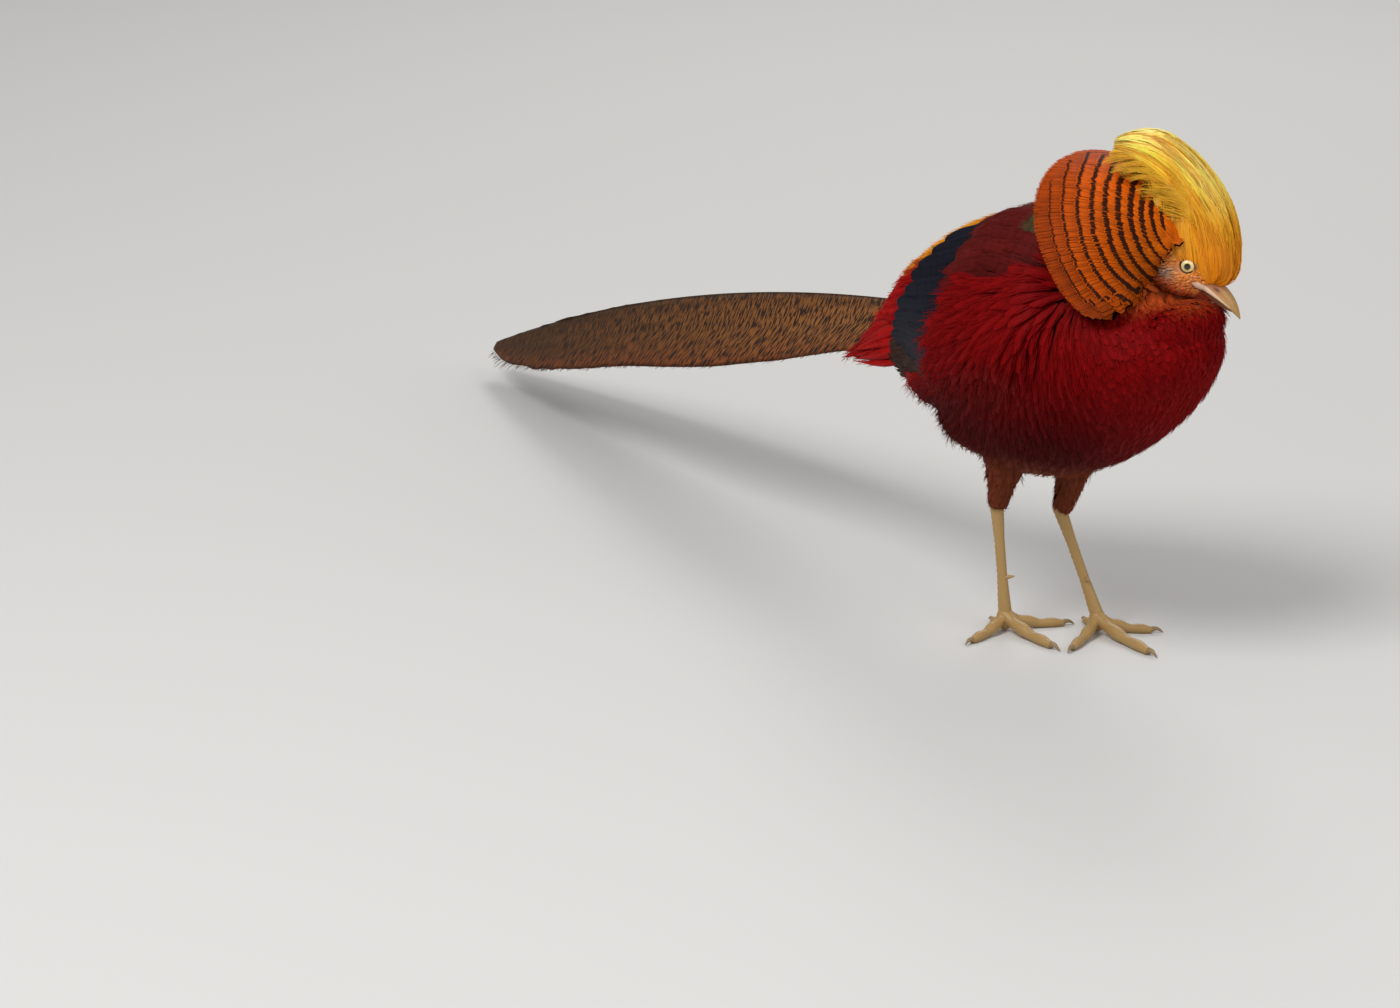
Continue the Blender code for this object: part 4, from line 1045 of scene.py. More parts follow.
def face_tint(f: Array, u: Array) -> Array:
    """The colour of the face at places in the head's frame."""
    tint = mix(rgb(Tone.FACE), rgb(Tone.THROAT), ease(-u, 0.002, 0.011))
    ear = np.exp(-(((f + 0.002) / 0.0055) ** 2 + ((u + 0.0045) / 0.0045) ** 2))
    tint = mix(tint, rgb(Tone.EAR), 0.85 * ear)
    return mix(tint, rgb(Tone.AMBER), ease(u, 0.008, 0.013) * 0.8)


class Flesh:
    """The bird's one skin, inside the coat, from the thighs to the root of the bill."""

    def __init__(self, form: Form, shaders: Shaders) -> None:
        self.form = form
        self.material = shaders.skin("skin", Finish(roughness=0.75, sheen=0.05, streak=0.25, relief=0.0002))

    def head(self) -> bpy.types.Object:
        """The head's skin, with sockets and a brow."""
        f = np.concatenate((np.linspace(-0.0225, 0.0130, 54), np.linspace(0.0136, 0.0192, 12)))
        turns = np.linspace(0, 360, 96, endpoint=False)
        points = head_surface(f[:, None], turns[None])
        centre = head_point(f, 0 * f, 0 * f)[:, None]
        points = points - unit(points - centre) * 0.0010
        for sign in (1, -1):
            eye = eye_centre(sign)
            axis = eye_axis(sign)
            offset = points - (eye + axis * 0.0040)
            away = np.linalg.norm(offset - axis * dot(offset, axis), axis=-1)
            near = dot(offset, axis)[..., 0] > -0.008
            dip = np.where(near, 0.0034 * np.exp(-((away / 0.0042) ** 4)), 0.0)
            rim = np.where(near, 0.0007 * np.exp(-(((away - 0.0060) / 0.0012) ** 2)), 0.0)
            points = points - axis * (dip - rim)[..., None]
        return plain_object("head_skin", points, grid_faces(len(f), len(turns)))

    def build(self) -> bpy.types.Object:
        """Shrinks the form to the skin's depth and unites it with the head."""
        item = self.form.item
        depth = 0.0042 - 0.0022 * (1 - ease(self.form.points[:, 2], 0.085, 0.12))
        inner = self.form.points - self.form.normals * depth[:, None]
        item.data.vertices.foreach_set("co", inner.astype(np.float32).reshape(-1))
        item.name = "skin"
        head = self.head()
        join = item.modifiers.new("join", "BOOLEAN")
        join.operation = "UNION"
        join.solver = "MANIFOLD"
        join.object = head
        baked(item)
        bpy.data.objects.remove(head, do_unlink=True)
        points, _ = vertices_of(item)
        f, l, u = head_place(points)
        is_head = ease(f, -0.024, -0.018) * (1 - ease(np.hypot(l, u), 0.021, 0.026))
        tint = mix(body_tint(points), face_tint(f, u), is_head) * 0.8
        faces = self.faces(item)
        bpy.data.objects.remove(item, do_unlink=True)
        return mesh_piece(
            "skin", "plumage_red", self.material, points, faces, tint, bakes=np.clip(body_home(points), 0, 1),
            replaces=("torso", "neck", "head", "thigh_left", "thigh_right"),
        )

    @staticmethod
    def faces(item: bpy.types.Object) -> list[Array]:
        """An object's faces, gathered by their count of corners."""
        groups: dict[int, list] = {}
        for polygon in item.data.polygons:
            groups.setdefault(len(polygon.vertices), []).append(tuple(polygon.vertices))
        return [np.array(rows) for rows in groups.values()]


def eye_centre(sign: float) -> Array:
    """The middle of an eye, 1 for the left one and -1 for the right one."""
    return head_point(EYE_AT[0], sign * EYE_AT[1], EYE_AT[2])


def eye_axis(sign: float) -> Array:
    """The way an eye looks: outwards, a little forward and up."""
    return unit(LEFT * sign + FORWARD * 0.16 + UP * 0.06)


@dataclass(frozen=True)
class Patch:
    """One region of the body's coat."""

    name: str
    spacing: float
    length: float
    half: float
    lift: float
    fringe: Fringe
    spread: float = 0.07


BREAST_FRINGE = Fringe(10, (0.30, 0.97), (3, 22), (0.004, 0.0075), 0.0002, 0.0007)
BELLY_FRINGE = Fringe(10, (0.3, 0.97), (3, 22), (0.005, 0.009), 0.0002, 0.0008)
FLANK_FRINGE = Fringe(14, (0.1, 0.97), (2, 16), (0.008, 0.015), 0.0002, 0.001)
BACK_FRINGE = Fringe(9, (0.2, 0.97), (4, 18), (0.005, 0.010), 0.0002)
THIGH_FRINGE = Fringe(5, (0.3, 0.97), (4, 22), (0.002, 0.004), 0.00012, 0.0003)


class BodyCoat:
    """The contour feathers of the breast, belly, flanks, back, rump and thighs."""

    PATCHES = (
        Patch("breast", 0.0034, 0.0140, 0.0038, 0.0020, BREAST_FRINGE),
        Patch("belly", 0.0046, 0.0170, 0.0044, 0.0021, BELLY_FRINGE),
        Patch("flank_left", 0.0042, 0.0220, 0.0040, 0.0022, FLANK_FRINGE),
        Patch("flank_right", 0.0042, 0.0220, 0.0040, 0.0022, FLANK_FRINGE),
        Patch("back", 0.0044, 0.0190, 0.0038, 0.0022, BACK_FRINGE),
        Patch("rump", 0.0046, 0.0210, 0.0038, 0.0022, BACK_FRINGE),
        Patch("thighs", 0.0028, 0.0090, 0.0020, 0.0014, THIGH_FRINGE),
    )

    def __init__(self, form: Form, shaders: Shaders) -> None:
        self.form = form
        self.velvet = shaders.plumage("velvet", Finish(0.62, 0.14, 0.07, 0.0, 0.34, 10.0, 0.0001, (1.0, 0.10, 0.08)))
        self.draw = np.random.default_rng(SEED)
        grid_share, grid_angle = np.meshgrid(np.linspace(0, 1, 24), np.linspace(*CAPE_TURNS, 60), indexing="ij")
        places = cape_surface(grid_share, grid_angle).reshape(-1, 3)
        self.cape = KDTree(len(places))
        self.cape_share = grid_share.reshape(-1)
        self.cape_angle = grid_angle.reshape(-1)
        for i, place in enumerate(places):
            self.cape.insert(place, i)
        self.cape.balance()

    def ways(self, points: Array) -> Array:
        """The way the feathers lie: from the chin outwards over the breast, then back, and down the legs."""
        y = points[..., 1]
        source = np.stack((0.085 - 0.8 * np.abs(y), 0.85 * y, np.full_like(y, 0.245)), -1)
        way = unit(points - source)
        low = (1 - ease(points[..., 2], 0.098, 0.124))[..., None]
        return unit(way * (1 - low) + np.array((-0.25, 0.0, -1.0)) * low)

    def region(self, points: Array) -> Array:
        """The name of the region that each place is in, or nothing where no feather grows."""
        x, signed = body_place(points)
        angle = np.abs(signed)
        name = np.full(len(points), "breast", dtype="U12")
        name[(angle > 128) & (x < 0.055)] = "belly"
        flank = (x < 0.062) & (angle <= 128)
        name[flank & (signed > 0)] = "flank_left"
        name[flank & (signed <= 0)] = "flank_right"
        name[(angle < 34) & (x < 0.062)] = "back"
        name[x < -0.112] = "rump"
        name[(x < -0.146) & (points[:, 2] > 0.160)] = ""
        name[points[:, 2] < LEG_TOP] = "thighs"
        edge = np.interp(angle, *np.array(FLANK_EDGE).T)
        edge = edge + 0.014 + self.draw.normal(0, 0.0035, len(x))
        under = (footprint_depth(x, angle) > 0.004 + 0.008 * ease(angle, 88, 100)) & (x < edge) & (angle < 122)
        name[under] = ""
        f, l, u = head_place(points)
        name[(f > -0.020) & (f < 0.018) & (np.hypot(l, u) < 0.0165)] = ""
        for i in np.flatnonzero((points[:, 2] > 0.20) & (points[:, 0] > -0.02)):
            _, place, away = self.cape.find(points[i])
            if self.cape_share[place] < 0.86 and away < 0.014 and abs(self.cape_angle[place] + 20) < 104:
                name[i] = ""
        return name

    def build(self) -> None:
        """Makes one piece for each region."""
        form = self.form
        region = self.region(form.points)
        spacing = np.full(len(region), 0.01)
        for patch in self.PATCHES:
            spacing[region == patch.name] = patch.spacing
        grows = np.flatnonzero(region != "")
        chosen = grows[scattered(form.points[grows], spacing[grows], self.draw)]
        for patch in self.PATCHES:
            own = chosen[region[chosen] == patch.name]
            if len(own):
                self.patch(patch, form.points[own])

    def patch(self, patch: Patch, roots: Array) -> None:
        """Lays one region's feathers."""
        draw = self.draw
        count = len(roots)
        way = self.ways(roots) + draw.normal(0, patch.spread, (count, 3))
        length = patch.length * draw.uniform(0.82, 1.15, count)
        small = ease(roots[:, 0], 0.06, 0.10)
        length *= 1 - 0.25 * small
        chin = ease(roots[:, 0], 0.030, 0.055) * ease(roots[:, 2], 0.218, 0.234)
        length *= 1 - 0.35 * chin
        stations = 5
        places, normals = self.form.trace(roots, way, length, stations)
        share = np.linspace(0, 1, stations)
        x, angle = body_place(places)
        over = wing_height(x, angle) * 1.12
        over[roots[:, 2] < LEG_TOP] = 0.0
        onto = ease(share, 0.0, 0.35)
        loose = patch.lift * (1 - 0.55 * chin)[:, None] * share * draw.uniform(0.75, 1.25, (count, 1))
        lift = -0.0014 + loose + over * onto
        centres = places + normals * (lift + over * (1 - onto) * 0.6)[..., None]
        line = Line.through(centres, normals, draw.normal(0, 2.5, (count, 1)))
        wide = patch.half * draw.uniform(0.85, 1.15, count) * (1 - 0.4 * chin)
        half = wide[:, None] * feather_width(share)
        tint = body_tint(places[:, 0]) * draw.uniform(0.86, 1.12, count)[:, None]
        tip = body_tint(places[:, -1])
        tint = mix(tint, tip, 0.6)
        home = body_home(roots)
        coat = Coat("coat_" + patch.name, "plumage_red", self.velvet, soft=0.85)
        # The vanes are painted darker towards their roots, as shade under the feathers before them.
        coat.sweep(line, half, 0.00028, VANE, root_shaded(tint, 0.76, 1.04, stations), home, camber=0.08)
        add_fringe(coat, line, patch.fringe, wide, tint, home, draw)
        coat.build()


class Face:
    """The short feathers of the face, chin and throat."""

    TRIES = 9000
    SPACING = 0.0014
    EYE_CLEAR = 0.0062

    def __init__(self, shaders: Shaders) -> None:
        self.material = shaders.plumage("face_down", Finish(0.68, 0.12, 0.12, 0.0, 0.3, 6.0, 0.0001, (1.0, 0.6, 0.3)))
        self.draw = np.random.default_rng(SEED + 1)

    def build(self) -> None:
        """Lays the feathers backwards over the head, smallest round the eye and the bill."""
        draw = self.draw
        f = draw.uniform(-0.020, 0.0188, self.TRIES)
        turn = draw.uniform(-180, 180, self.TRIES)
        roots = head_surface(f, turn)
        keep = np.ones(len(f), bool)
        for sign in (1, -1):
            eye = eye_centre(sign) + eye_axis(sign) * 0.004
            keep &= np.linalg.norm(roots - eye, axis=1) > self.EYE_CLEAR
        _, _, u = head_place(roots)
        keep &= ~((u > 0.0125) & (f < 0.012))
        roots, f, turn = roots[keep], f[keep], turn[keep]
        chosen = scattered(roots, np.full(len(roots), self.SPACING), draw)
        f, turn = f[chosen], turn[chosen]
        count, stations = len(f), 4
        share = np.linspace(0, 1, stations)
        length = (0.0030 + 0.0022 * ease(-f, -0.012, 0.012)) * draw.uniform(0.8, 1.2, count)
        low = ease(np.abs(turn), 100, 170)
        run = f[:, None] - length[:, None] * share
        swing = turn[:, None] + (np.sign(turn) * (8 - 6 * low))[:, None] * share
        run = np.maximum(run, -0.024)
        centres, normals = surface_frame(head_surface, run, swing)
        lift = -0.0008 + (0.0012 + 0.0008 * low)[:, None] * share * draw.uniform(0.7, 1.3, (count, 1))
        line = Line.through(centres + normals * lift[..., None], normals, draw.normal(0, 8, (count, 1)))
        wide = 0.00105 * draw.uniform(0.8, 1.2, count)
        root_f, _, root_u = head_place(centres[:, 0])
        tint = mix(face_tint(root_f, root_u), rgb(Tone.EAR), 0.28 * draw.uniform(0, 1, count) ** 2)
        tint = tint * draw.uniform(0.85, 1.25, (count, 1))
        home = turned_home(turn, (f + 0.022) / 0.042)
        coat = Coat("coat_face", "face_skin", self.material)
        half = wide[:, None] * feather_width(share)
        # Painted shade towards each feather's root.
        coat.sweep(line, half, 0.00016, VANE, root_shaded(tint, 0.75, 1.2, stations), home, 0.2)
        fringe = Fringe(3, (0.4, 0.95), (6, 30), (0.0010, 0.0022), 0.00008, 0.0003)
        add_fringe(coat, line, fringe, wide, tint, home, draw)
        coat.build()


class Eyes:
    """The two eyes with their lids."""

    # Colours by the share of the way from the pupil's middle to the rim.
    IRIS = (
        (0.0, (0.003, 0.003, 0.003)), (0.36, (0.003, 0.003, 0.003)), (0.38, (0.42, 0.20, 0.03)),
        (0.45, (0.80, 0.62, 0.20)), (0.62, (0.92, 0.80, 0.42)), (0.74, (0.84, 0.74, 0.44)),
        (0.79, (0.10, 0.06, 0.03)), (0.83, (0.02, 0.012, 0.01)),
    )
    # Each lid or fold: 1 for an upper one, its radius, its height along the eye's axis, its thickness, its colour.
    LIDS = (
        (1, LID_RADIUS, 0.0029, 0.00042, (0.07, 0.04, 0.02)),
        (0, LID_RADIUS, 0.0028, 0.00036, (0.09, 0.05, 0.025)),
        (1, LID_RADIUS + 0.0008, 0.0026, 0.00052, (0.22, 0.13, 0.05)),
        (0, LID_RADIUS + 0.0007, 0.0024, 0.00046, (0.34, 0.20, 0.09)),
        (1, LID_RADIUS + 0.0017, 0.0018, 0.00056, (0.46, 0.24, 0.07)),
        (0, LID_RADIUS + 0.0015, 0.0016, 0.00050, (0.52, 0.28, 0.10)),
    )

    def __init__(self, shaders: Shaders) -> None:
        self.shaders = shaders
        self.glass = self.material()
        self.lid = shaders.skin("lid_skin", Finish(0.55, 0.1, 0.4, 0.0, 0.3, 0, 0.00008), 2500.0)

    def material(self) -> bpy.types.Material:
        """A clear-coated eye: pupil, iris and rim by the distance from its axis."""
        made = bpy.data.materials.new("eye")
        made.use_nodes = True
        tree = made.node_tree
        shader = tree.nodes["Principled BSDF"]
        shader.inputs["Roughness"].default_value = 0.25
        shader.inputs["Coat Weight"].default_value = 0.6
        shader.inputs["Coat Roughness"].default_value = 0.03
        node = self.shaders.node
        ring = node(tree, "Attribute", attribute_name="tint").outputs["Color"]
        ramp = node(tree, "ValToRGB", {0: node(tree, "SeparateColor", {0: ring}).outputs[0]})
        ramp.color_ramp.elements[0].position = 0.0
        ramp.color_ramp.elements[1].position = 1.0
        for place, colour in self.IRIS[1:]:
            ramp.color_ramp.elements.new(place).color = (*colour, 1.0)
        ramp.color_ramp.elements[0].color = (*self.IRIS[0][1], 1.0)
        ramp.color_ramp.elements[-1].color = (*self.IRIS[-1][1], 1.0)
        tree.links.new(ramp.outputs[0], shader.inputs["Base Color"])
        return made

    def build(self) -> None:
        """Makes both eyes and their lids."""
        for label, sign in (("left", 1), ("right", -1)):
            self.ball(label, sign)
            self.lids(label, sign)

    def ball(self, label: str, sign: float) -> None:
        """One eyeball, tinted by the distance from its axis."""
        eye = eye_centre(sign)
        axis = eye_axis(sign)
        bpy.ops.object.select_all(action="DESELECT")
        bpy.ops.mesh.primitive_uv_sphere_add(segments=64, ring_count=48, radius=EYE_RADIUS, location=(0, 0, 0))
        ball = bpy.context.object
        points, _ = vertices_of(ball)
        faces = Flesh.faces(ball)
        bpy.data.objects.remove(ball, do_unlink=True)
        ring = np.hypot(points[:, 0], points[:, 1]) / EYE_RADIUS
        ring = np.where(points[:, 2] < 0, 1.0, ring)
        side = unit(np.cross(axis, UP))
        turned = points @ np.stack((side, np.cross(axis, side), axis))
        tint = np.repeat(ring[:, None], 3, axis=1)
        mesh_piece(
            "eyeball_" + label, "eye_glass", self.glass, turned + eye, faces, tint, replaces=("eye_" + label,),
        )

    def lids(self, label: str, sign: float) -> None:
        """The upper and lower lid of one eye, and a fold round each."""
        eye = eye_centre(sign)
        axis = eye_axis(sign)
        lead = unit(FORWARD - axis * (FORWARD @ axis))
        above = np.cross(lead, axis) * (1 if np.cross(lead, axis) @ UP > 0 else -1)
        coat = Coat("lids_" + label, "face_skin", self.lid)
        rows, sizes = [], []
        turn = np.linspace(-0.12, math.pi + 0.12, 28)
        for upper, radius, height, thick, _ in self.LIDS:
            high = (0.93 if upper else -0.96) * np.sin(turn)
            out = np.cos(turn) * 1.06
            rows.append(eye + axis * height + lead * (out * radius)[:, None] + above * (high * radius)[:, None])
            sizes.append(thick * (0.55 + 0.45 * np.clip(np.sin(turn), 0, 1)))
        centres = np.stack(rows)
        line = Line.through(centres, axis)
        half = np.stack(sizes)
        tones = np.array([colour for *_, colour in self.LIDS])
        home = np.stack((np.linspace(0.1, 0.9, 6), np.full(6, 0.05)), -1)
        coat.sweep(line, half, half, ROUND, tones, home, patch=(0.1, 0.9))
        coat.build()


class Bill:
    """The two halves of the bill, with the nostrils and a ridged edge."""

    ROOT = 0.0180
    LENGTH = 0.0287
    HALF = 0.0064
    MOUTH = -0.0028
    UP = 0.0078
    DOWN = 0.0046
    HOOK = 0.0028
    EDGE_TONE = (0.74, 0.40, 0.24)

    def __init__(self, shaders: Shaders) -> None:
        self.material = shaders.skin("bill_horn", Finish(0.38, 0.0, 0.5, 0.25, 0.14, 0, 0.00006), 700.0)

    def build(self) -> None:
        """Makes the upper and the lower half."""
        self.half("upper", self.UP, 1.0)
        self.half("lower", -self.DOWN, 0.84)
        self.gape()

    def gape(self) -> None:
        """The pale fleshy ridge that runs from the cheek along the mouth on each side, over a dark line that is a
        painted shadow of the mouth.
        """
        coat = Coat("gape", "face_skin", self.material)
        f = np.linspace(0.0112, 0.0385, 30)
        share = np.clip((f - self.ROOT) / self.LENGTH, 0, 1)
        slim = (1 - share**2.9) * 0.93 + 0.07
        cheek = HEAD(f)[0] * 0.985
        on_bill = ease(f, 0.0165, 0.0200)
        mouth = self.MOUTH - self.HOOK * share**2
        swell = np.interp(f, (0.0112, 0.0140, 0.0180, 0.0260, 0.0385), (0.0004, 0.0022, 0.0019, 0.0011, 0.0003))
        for drop, size, deep, tones in (
            (-0.0010, 1.0, 0.62, ((0.62, 0.36, 0.25), (0.80, 0.58, 0.42), (0.74, 0.52, 0.26))),
            # The second, thin dark tube is a painted shadow under the ridge along the mouth.
            (0.0006, 0.42, 0.42, ((0.16, 0.04, 0.02), (0.10, 0.03, 0.02), (0.12, 0.05, 0.03))),
        ):
            for sign in (1, -1):
                out = cheek * (1 - on_bill) + self.HALF * slim * on_bill + 0.0002
                centres = head_point(f, sign * out, mouth - drop)[None]
                line = Line.through(centres, LEFT * sign)
                half = (swell * size)[None]
                tint = np.stack([np.interp(f, (0.0112, 0.018, 0.0385), [t[i] for t in tones]) for i in range(3)], -1)
                home = np.array(((0.25 + 0.25 * sign + 0.1 * size, 0.02),))
                coat.sweep(line, half, half * deep, ROUND, tint[None], home, patch=(0.08, 0.9))
        coat.build()

    def half(self, label: str, high: float, reach: float) -> None:
        """One half, from inside the face to its tip.

        Args:
            label: Upper or lower.
            high: Its height at the root, below zero for the lower half.
            reach: Its length as a share of the upper half's.
        """
        share = np.linspace(0, 1, 44)
        turn = np.concatenate((np.linspace(0, math.pi, 25), np.linspace(math.pi, 0, 9)[1:-1]))
        flat = np.arange(len(turn)) >= 25
        slim = (1 - share**2.9) * 0.93 + 0.07
        upper = high > 0
        along = self.ROOT + self.LENGTH * reach * share
        line = self.MOUTH - self.HOOK * (share * reach) ** 2 + (0.0002 if upper else -0.0002)
        hook = -0.0012 * share**6 if upper else 0 * share
        wide = self.HALF * slim * (1.0 if upper else 0.9)
        across = np.cos(turn)[None] * wide[:, None]
        rise = np.where(flat, 0.0, np.sin(turn)) ** 0.85 * high * slim[:, None] + hook[:, None]
        inward = np.where(flat, 0.10 * high * np.sin(turn), 0.0) * slim[:, None]
        u = line[:, None] + rise + inward
        if upper:
            pit = np.exp(-(((along[:, None] - 0.0255) / 0.0022) ** 2 + ((u - 0.0012) / 0.0009) ** 2))
            hood = np.exp(-(((along[:, None] - 0.0250) / 0.0030) ** 2 + ((u - 0.0026) / 0.0010) ** 2))
            across = across * (1 - 0.17 * pit * ~flat + 0.07 * hood * ~flat)
        points = head_point(np.broadcast_to(along[:, None], u.shape), across, u)
        tint = mix(rgb(Tone.BILL_ROOT), rgb(Tone.BILL), ease(share, 0.10, 0.55))
        tint = np.broadcast_to(tint[:, None], points.shape).copy()
        edge = 0.55 * ease(-np.abs(rise), -0.0040, -0.0012) * (1 - ease(share, 0.4, 0.85))[:, None]
        tint = mix(tint, np.array(self.EDGE_TONE), edge)
        if upper:
            tint = mix(tint, np.array((0.10, 0.05, 0.03)), np.clip(pit * 1.1, 0, 1) * ~flat)
        # Painted shade: the faces where the two halves meet are darkened, as the mouth's seam.
        tint[:, flat] *= 0.35
        # Painted shadow on the lower half, tinted red as a painted reflection of the breast.
        if not upper:
            tint *= np.array((0.62, 0.42, 0.34))
        bakes = np.stack(np.broadcast_arrays(np.arange(len(turn))[None] / len(turn), share[:, None]), -1)
        mesh_piece(
            "bill_" + label + "_horn", "horn", self.material, points.reshape(-1, 3),
            grid_faces(len(share), len(turn)) if upper else [f[:, ::-1] for f in grid_faces(len(share), len(turn))],
            tint.reshape(-1, 3), bakes=bakes.reshape(-1, 2), replaces=("bill_" + label,),
        )


class Crest:
    """The silky crest: ribbon locks under thousands of fine strands, gathered in tapering clumps."""

    # The widest angle from the top at which clumps grow, and the wisps' clumps and strands in each.
    LOWEST = 134
    WISPS = (170, 7)

    def __init__(self, shaders: Shaders) -> None:
        self.silk = shaders.plumage("silk", Finish(0.40, 0.05, 0.18, 0.03, 0.20, 5.0, 0.0001, (1.0, 0.8, 0.3)))
        self.draw = np.random.default_rng(SEED + 2)

    @staticmethod
    def tint(share: Array, angle: Array) -> Array:
        """Amber at the front and low on the sides, lemon at the top and back, with pale silk along the top as a
        painted highlight, and paler towards the rear end.
        """
        high = ease(share, 0.12, 0.55) * (1 - 0.75 * ease(np.abs(angle), 45, 115) * (1 - ease(share, 0.5, 0.9)))
        tint = mix(rgb(Tone.AMBER), rgb(Tone.LEMON), high)
        # Painted highlight: pale silk along the top; the rear end is paler as well.
        pale = 0.35 * ease(share, 0.3, 0.5) * (1 - ease(np.abs(angle), 40, 80)) + 0.3 * ease(share, 0.7, 1.0)
        return mix(tint, rgb(Tone.SILK), pale)

    @staticmethod
    def path(run: Array, swing: Array, rooted: Array) -> tuple[Array, Array]:
        """Places and normals of strands that leave the scalp and settle on the crest's envelope.

        Args:
            run: Shares of the crest's spine, for each strand and station.
            swing: Angles round the crest.
            rooted: How much of the scalp's shape each place keeps, from 0 to 1.

        Returns:
            Places and outward normals.
        """
        centres, normals = surface_frame(crest_surface, run, swing)
        f = CREST(run)[0]
        scalp, out = surface_frame(head_surface, np.minimum(f, 0.0188), np.clip(swing * 0.56, -72, 72))
        part = rooted[..., None]
        return centres * (1 - part) + scalp * part, unit(-normals * (1 - part) + out * part)

    def lay(
        self, coat: Coat, clumps: int, each: int, stations: int, section: Array, sizes: tuple, layer: float,
        side: float = 0.0,
    ) -> None:
        """Lays clumps of locks or strands.

        Args:
            coat: Where they are gathered.
            clumps: How many clumps.
            each: How many strands in each.
            stations: How many places along each.
            section: Their section.
            sizes: Half width, thickness, least and most length as shares of the spine.
            layer: How high over the crest's envelope they lie.
            side: From this angle on they grow, on both sides.
        """
        draw = self.draw
        half, thick, short, long = sizes
        start = draw.uniform(0.0, 1.0, clumps) ** 1.3 * (0.42 if side else 0.80)
        angle = draw.uniform(side, self.LOWEST, clumps) * draw.choice((-1.0, 1.0), clumps)
        length = draw.uniform(short, long, clumps)
        bright = draw.uniform(0.82, 1.24, clumps)
        rise = draw.uniform(-0.0006, 0.0016, clumps)
        sag = np.sign(angle) * draw.uniform(-10, 6, clumps) * (1 - ease(np.abs(angle), 100, self.LOWEST))
        clump = np.repeat(np.arange(clumps), each)
        count = len(clump)
        start, angle, length = start[clump], angle[clump], length[clump] * draw.uniform(0.8, 1.1, count)
        start = np.clip(start + draw.normal(0, 0.02, count), 0.0, 1.0) if each > 1 else start
        end = np.minimum(start + length, 1.05 + draw.uniform(-0.05, 0.02, count))
        share = np.linspace(0, 1, stations)
        run = start[:, None] + (end - start)[:, None] * share
        fan = draw.normal(0, 6.5 if each > 1 else 0, (count, 1)) * (1 - 0.75 * share)
        swing = np.clip(angle[:, None] + fan + sag[clump][:, None] * share**1.5, -140, 140)
        scalp = np.clip((start[:, None] < 0.5) * (1 - share / 0.55), 0, 1) ** 1.5
        scalp = scalp * (0.35 + 0.65 * ease(np.abs(swing), 40, 100))
        centres, normals = self.path(run, swing, scalp)
        lift = layer + rise[clump][:, None] * np.sin(np.pi * share) + draw.uniform(0.0, 0.0010, (count, 1)) * share
        line = Line.through(centres + normals * lift[..., None], normals, draw.normal(0, 6, (count, 1)))
        slim = np.minimum(1, 0.5 + share / 0.2) * (1 - 0.88 * ease(share, 0.4, 1.0))
        wide = half * draw.uniform(0.7, 1.3, (count, 1)) * slim
        light = bright[clump] * draw.uniform(0.85, 1.15, count)
        amber = np.broadcast_to((np.clip(1.12 - light, 0, 0.4) * 2.2)[:, None], run.shape)
        tint = mix(self.tint(run, swing), rgb(Tone.AMBER), amber) * np.maximum(light, 0.85)[:, None, None]
        pale = (draw.uniform(0, 1, clumps) > 0.84)[clump][:, None, None]
        tint = np.where(pale, mix(tint, rgb(Tone.SILK), 0.4 * ease(run, 0.32, 0.5)), tint)
        home = turned_home(angle, np.clip(start, 0, 1) * 0.95)
        coat.sweep(line, wide, thick * slim, section, tint, home, camber=0.2 if len(section) > 3 else 0.0)

    def wisps(self, coat: Coat) -> None:
        """Loose strands that leave the crest's lower edge and hang over the cape."""
        draw = self.draw
        (clumps, each), stations = self.WISPS, 6
        hand = draw.choice((-1.0, 1.0), clumps)
        clump = np.repeat(np.arange(clumps), each)
        count = len(clump)
        start = draw.uniform(0.34, 0.95, clumps)[clump] + draw.normal(0, 0.012, count)
        angle = (draw.uniform(96, 136, clumps) * hand)[clump] + draw.normal(0, 3, count)
        share = np.linspace(0, 1, stations)
        run = start[:, None] + draw.uniform(0.12, 0.22, clumps)[clump][:, None] * share
        centres, normals = surface_frame(crest_surface, run, np.broadcast_to(angle[:, None], run.shape))
        normals = -normals
        fall = draw.uniform(0.002, 0.013, clumps)[clump][:, None, None] * share[None, :, None] ** 1.6
        out = (LEFT * hand[clump][:, None])[:, None]
        line = Line.through(centres + normals * 0.0006 - UP * fall + out * fall * 0.45, normals)
        half = 0.00024 * (1 - 0.8 * share) * np.ones((count, 1))
        # The wisps hang in the crest's shade; turning them amber and brightening them past the crest's own colour is
        # painted light.
        tint = mix(self.tint(run, 0 * run), rgb(Tone.AMBER), 0.85)
        tint = tint * draw.uniform(1.3, 1.9, clumps)[clump][:, None, None]
        home = turned_home(angle, np.clip(start, 0, 1) * 0.95)
        coat.sweep(line, half, half, SPLINTER, tint, home)

    def build(self) -> None:
        """Makes the locks, the strands over them and the loose strands over the cape."""
        coat = Coat("crest_locks", "crest_gold", self.silk, ("crest",))
        self.lay(coat, 380, 1, 9, VANE, (0.0022, 0.0006, 0.30, 0.55), -0.0012)
        self.lay(coat, 160, 1, 9, VANE, (0.0018, 0.0005, 0.22, 0.40), -0.0010, 70.0)
        coat.build()
        coat = Coat("crest_strands", "crest_gold", self.silk, soft=0.5)
        self.lay(coat, 215, 15, 7, SPLINTER, (0.00032, 0.00036, 0.26, 0.52), 0.0002)
        self.lay(coat, 100, 14, 7, SPLINTER, (0.00028, 0.00032, 0.20, 0.36), 0.0002, 66.0)
        coat.build()
        coat = Coat("crest_wisps", "crest_gold", self.silk, soft=0.6)
        self.wisps(coat)
        coat.build()


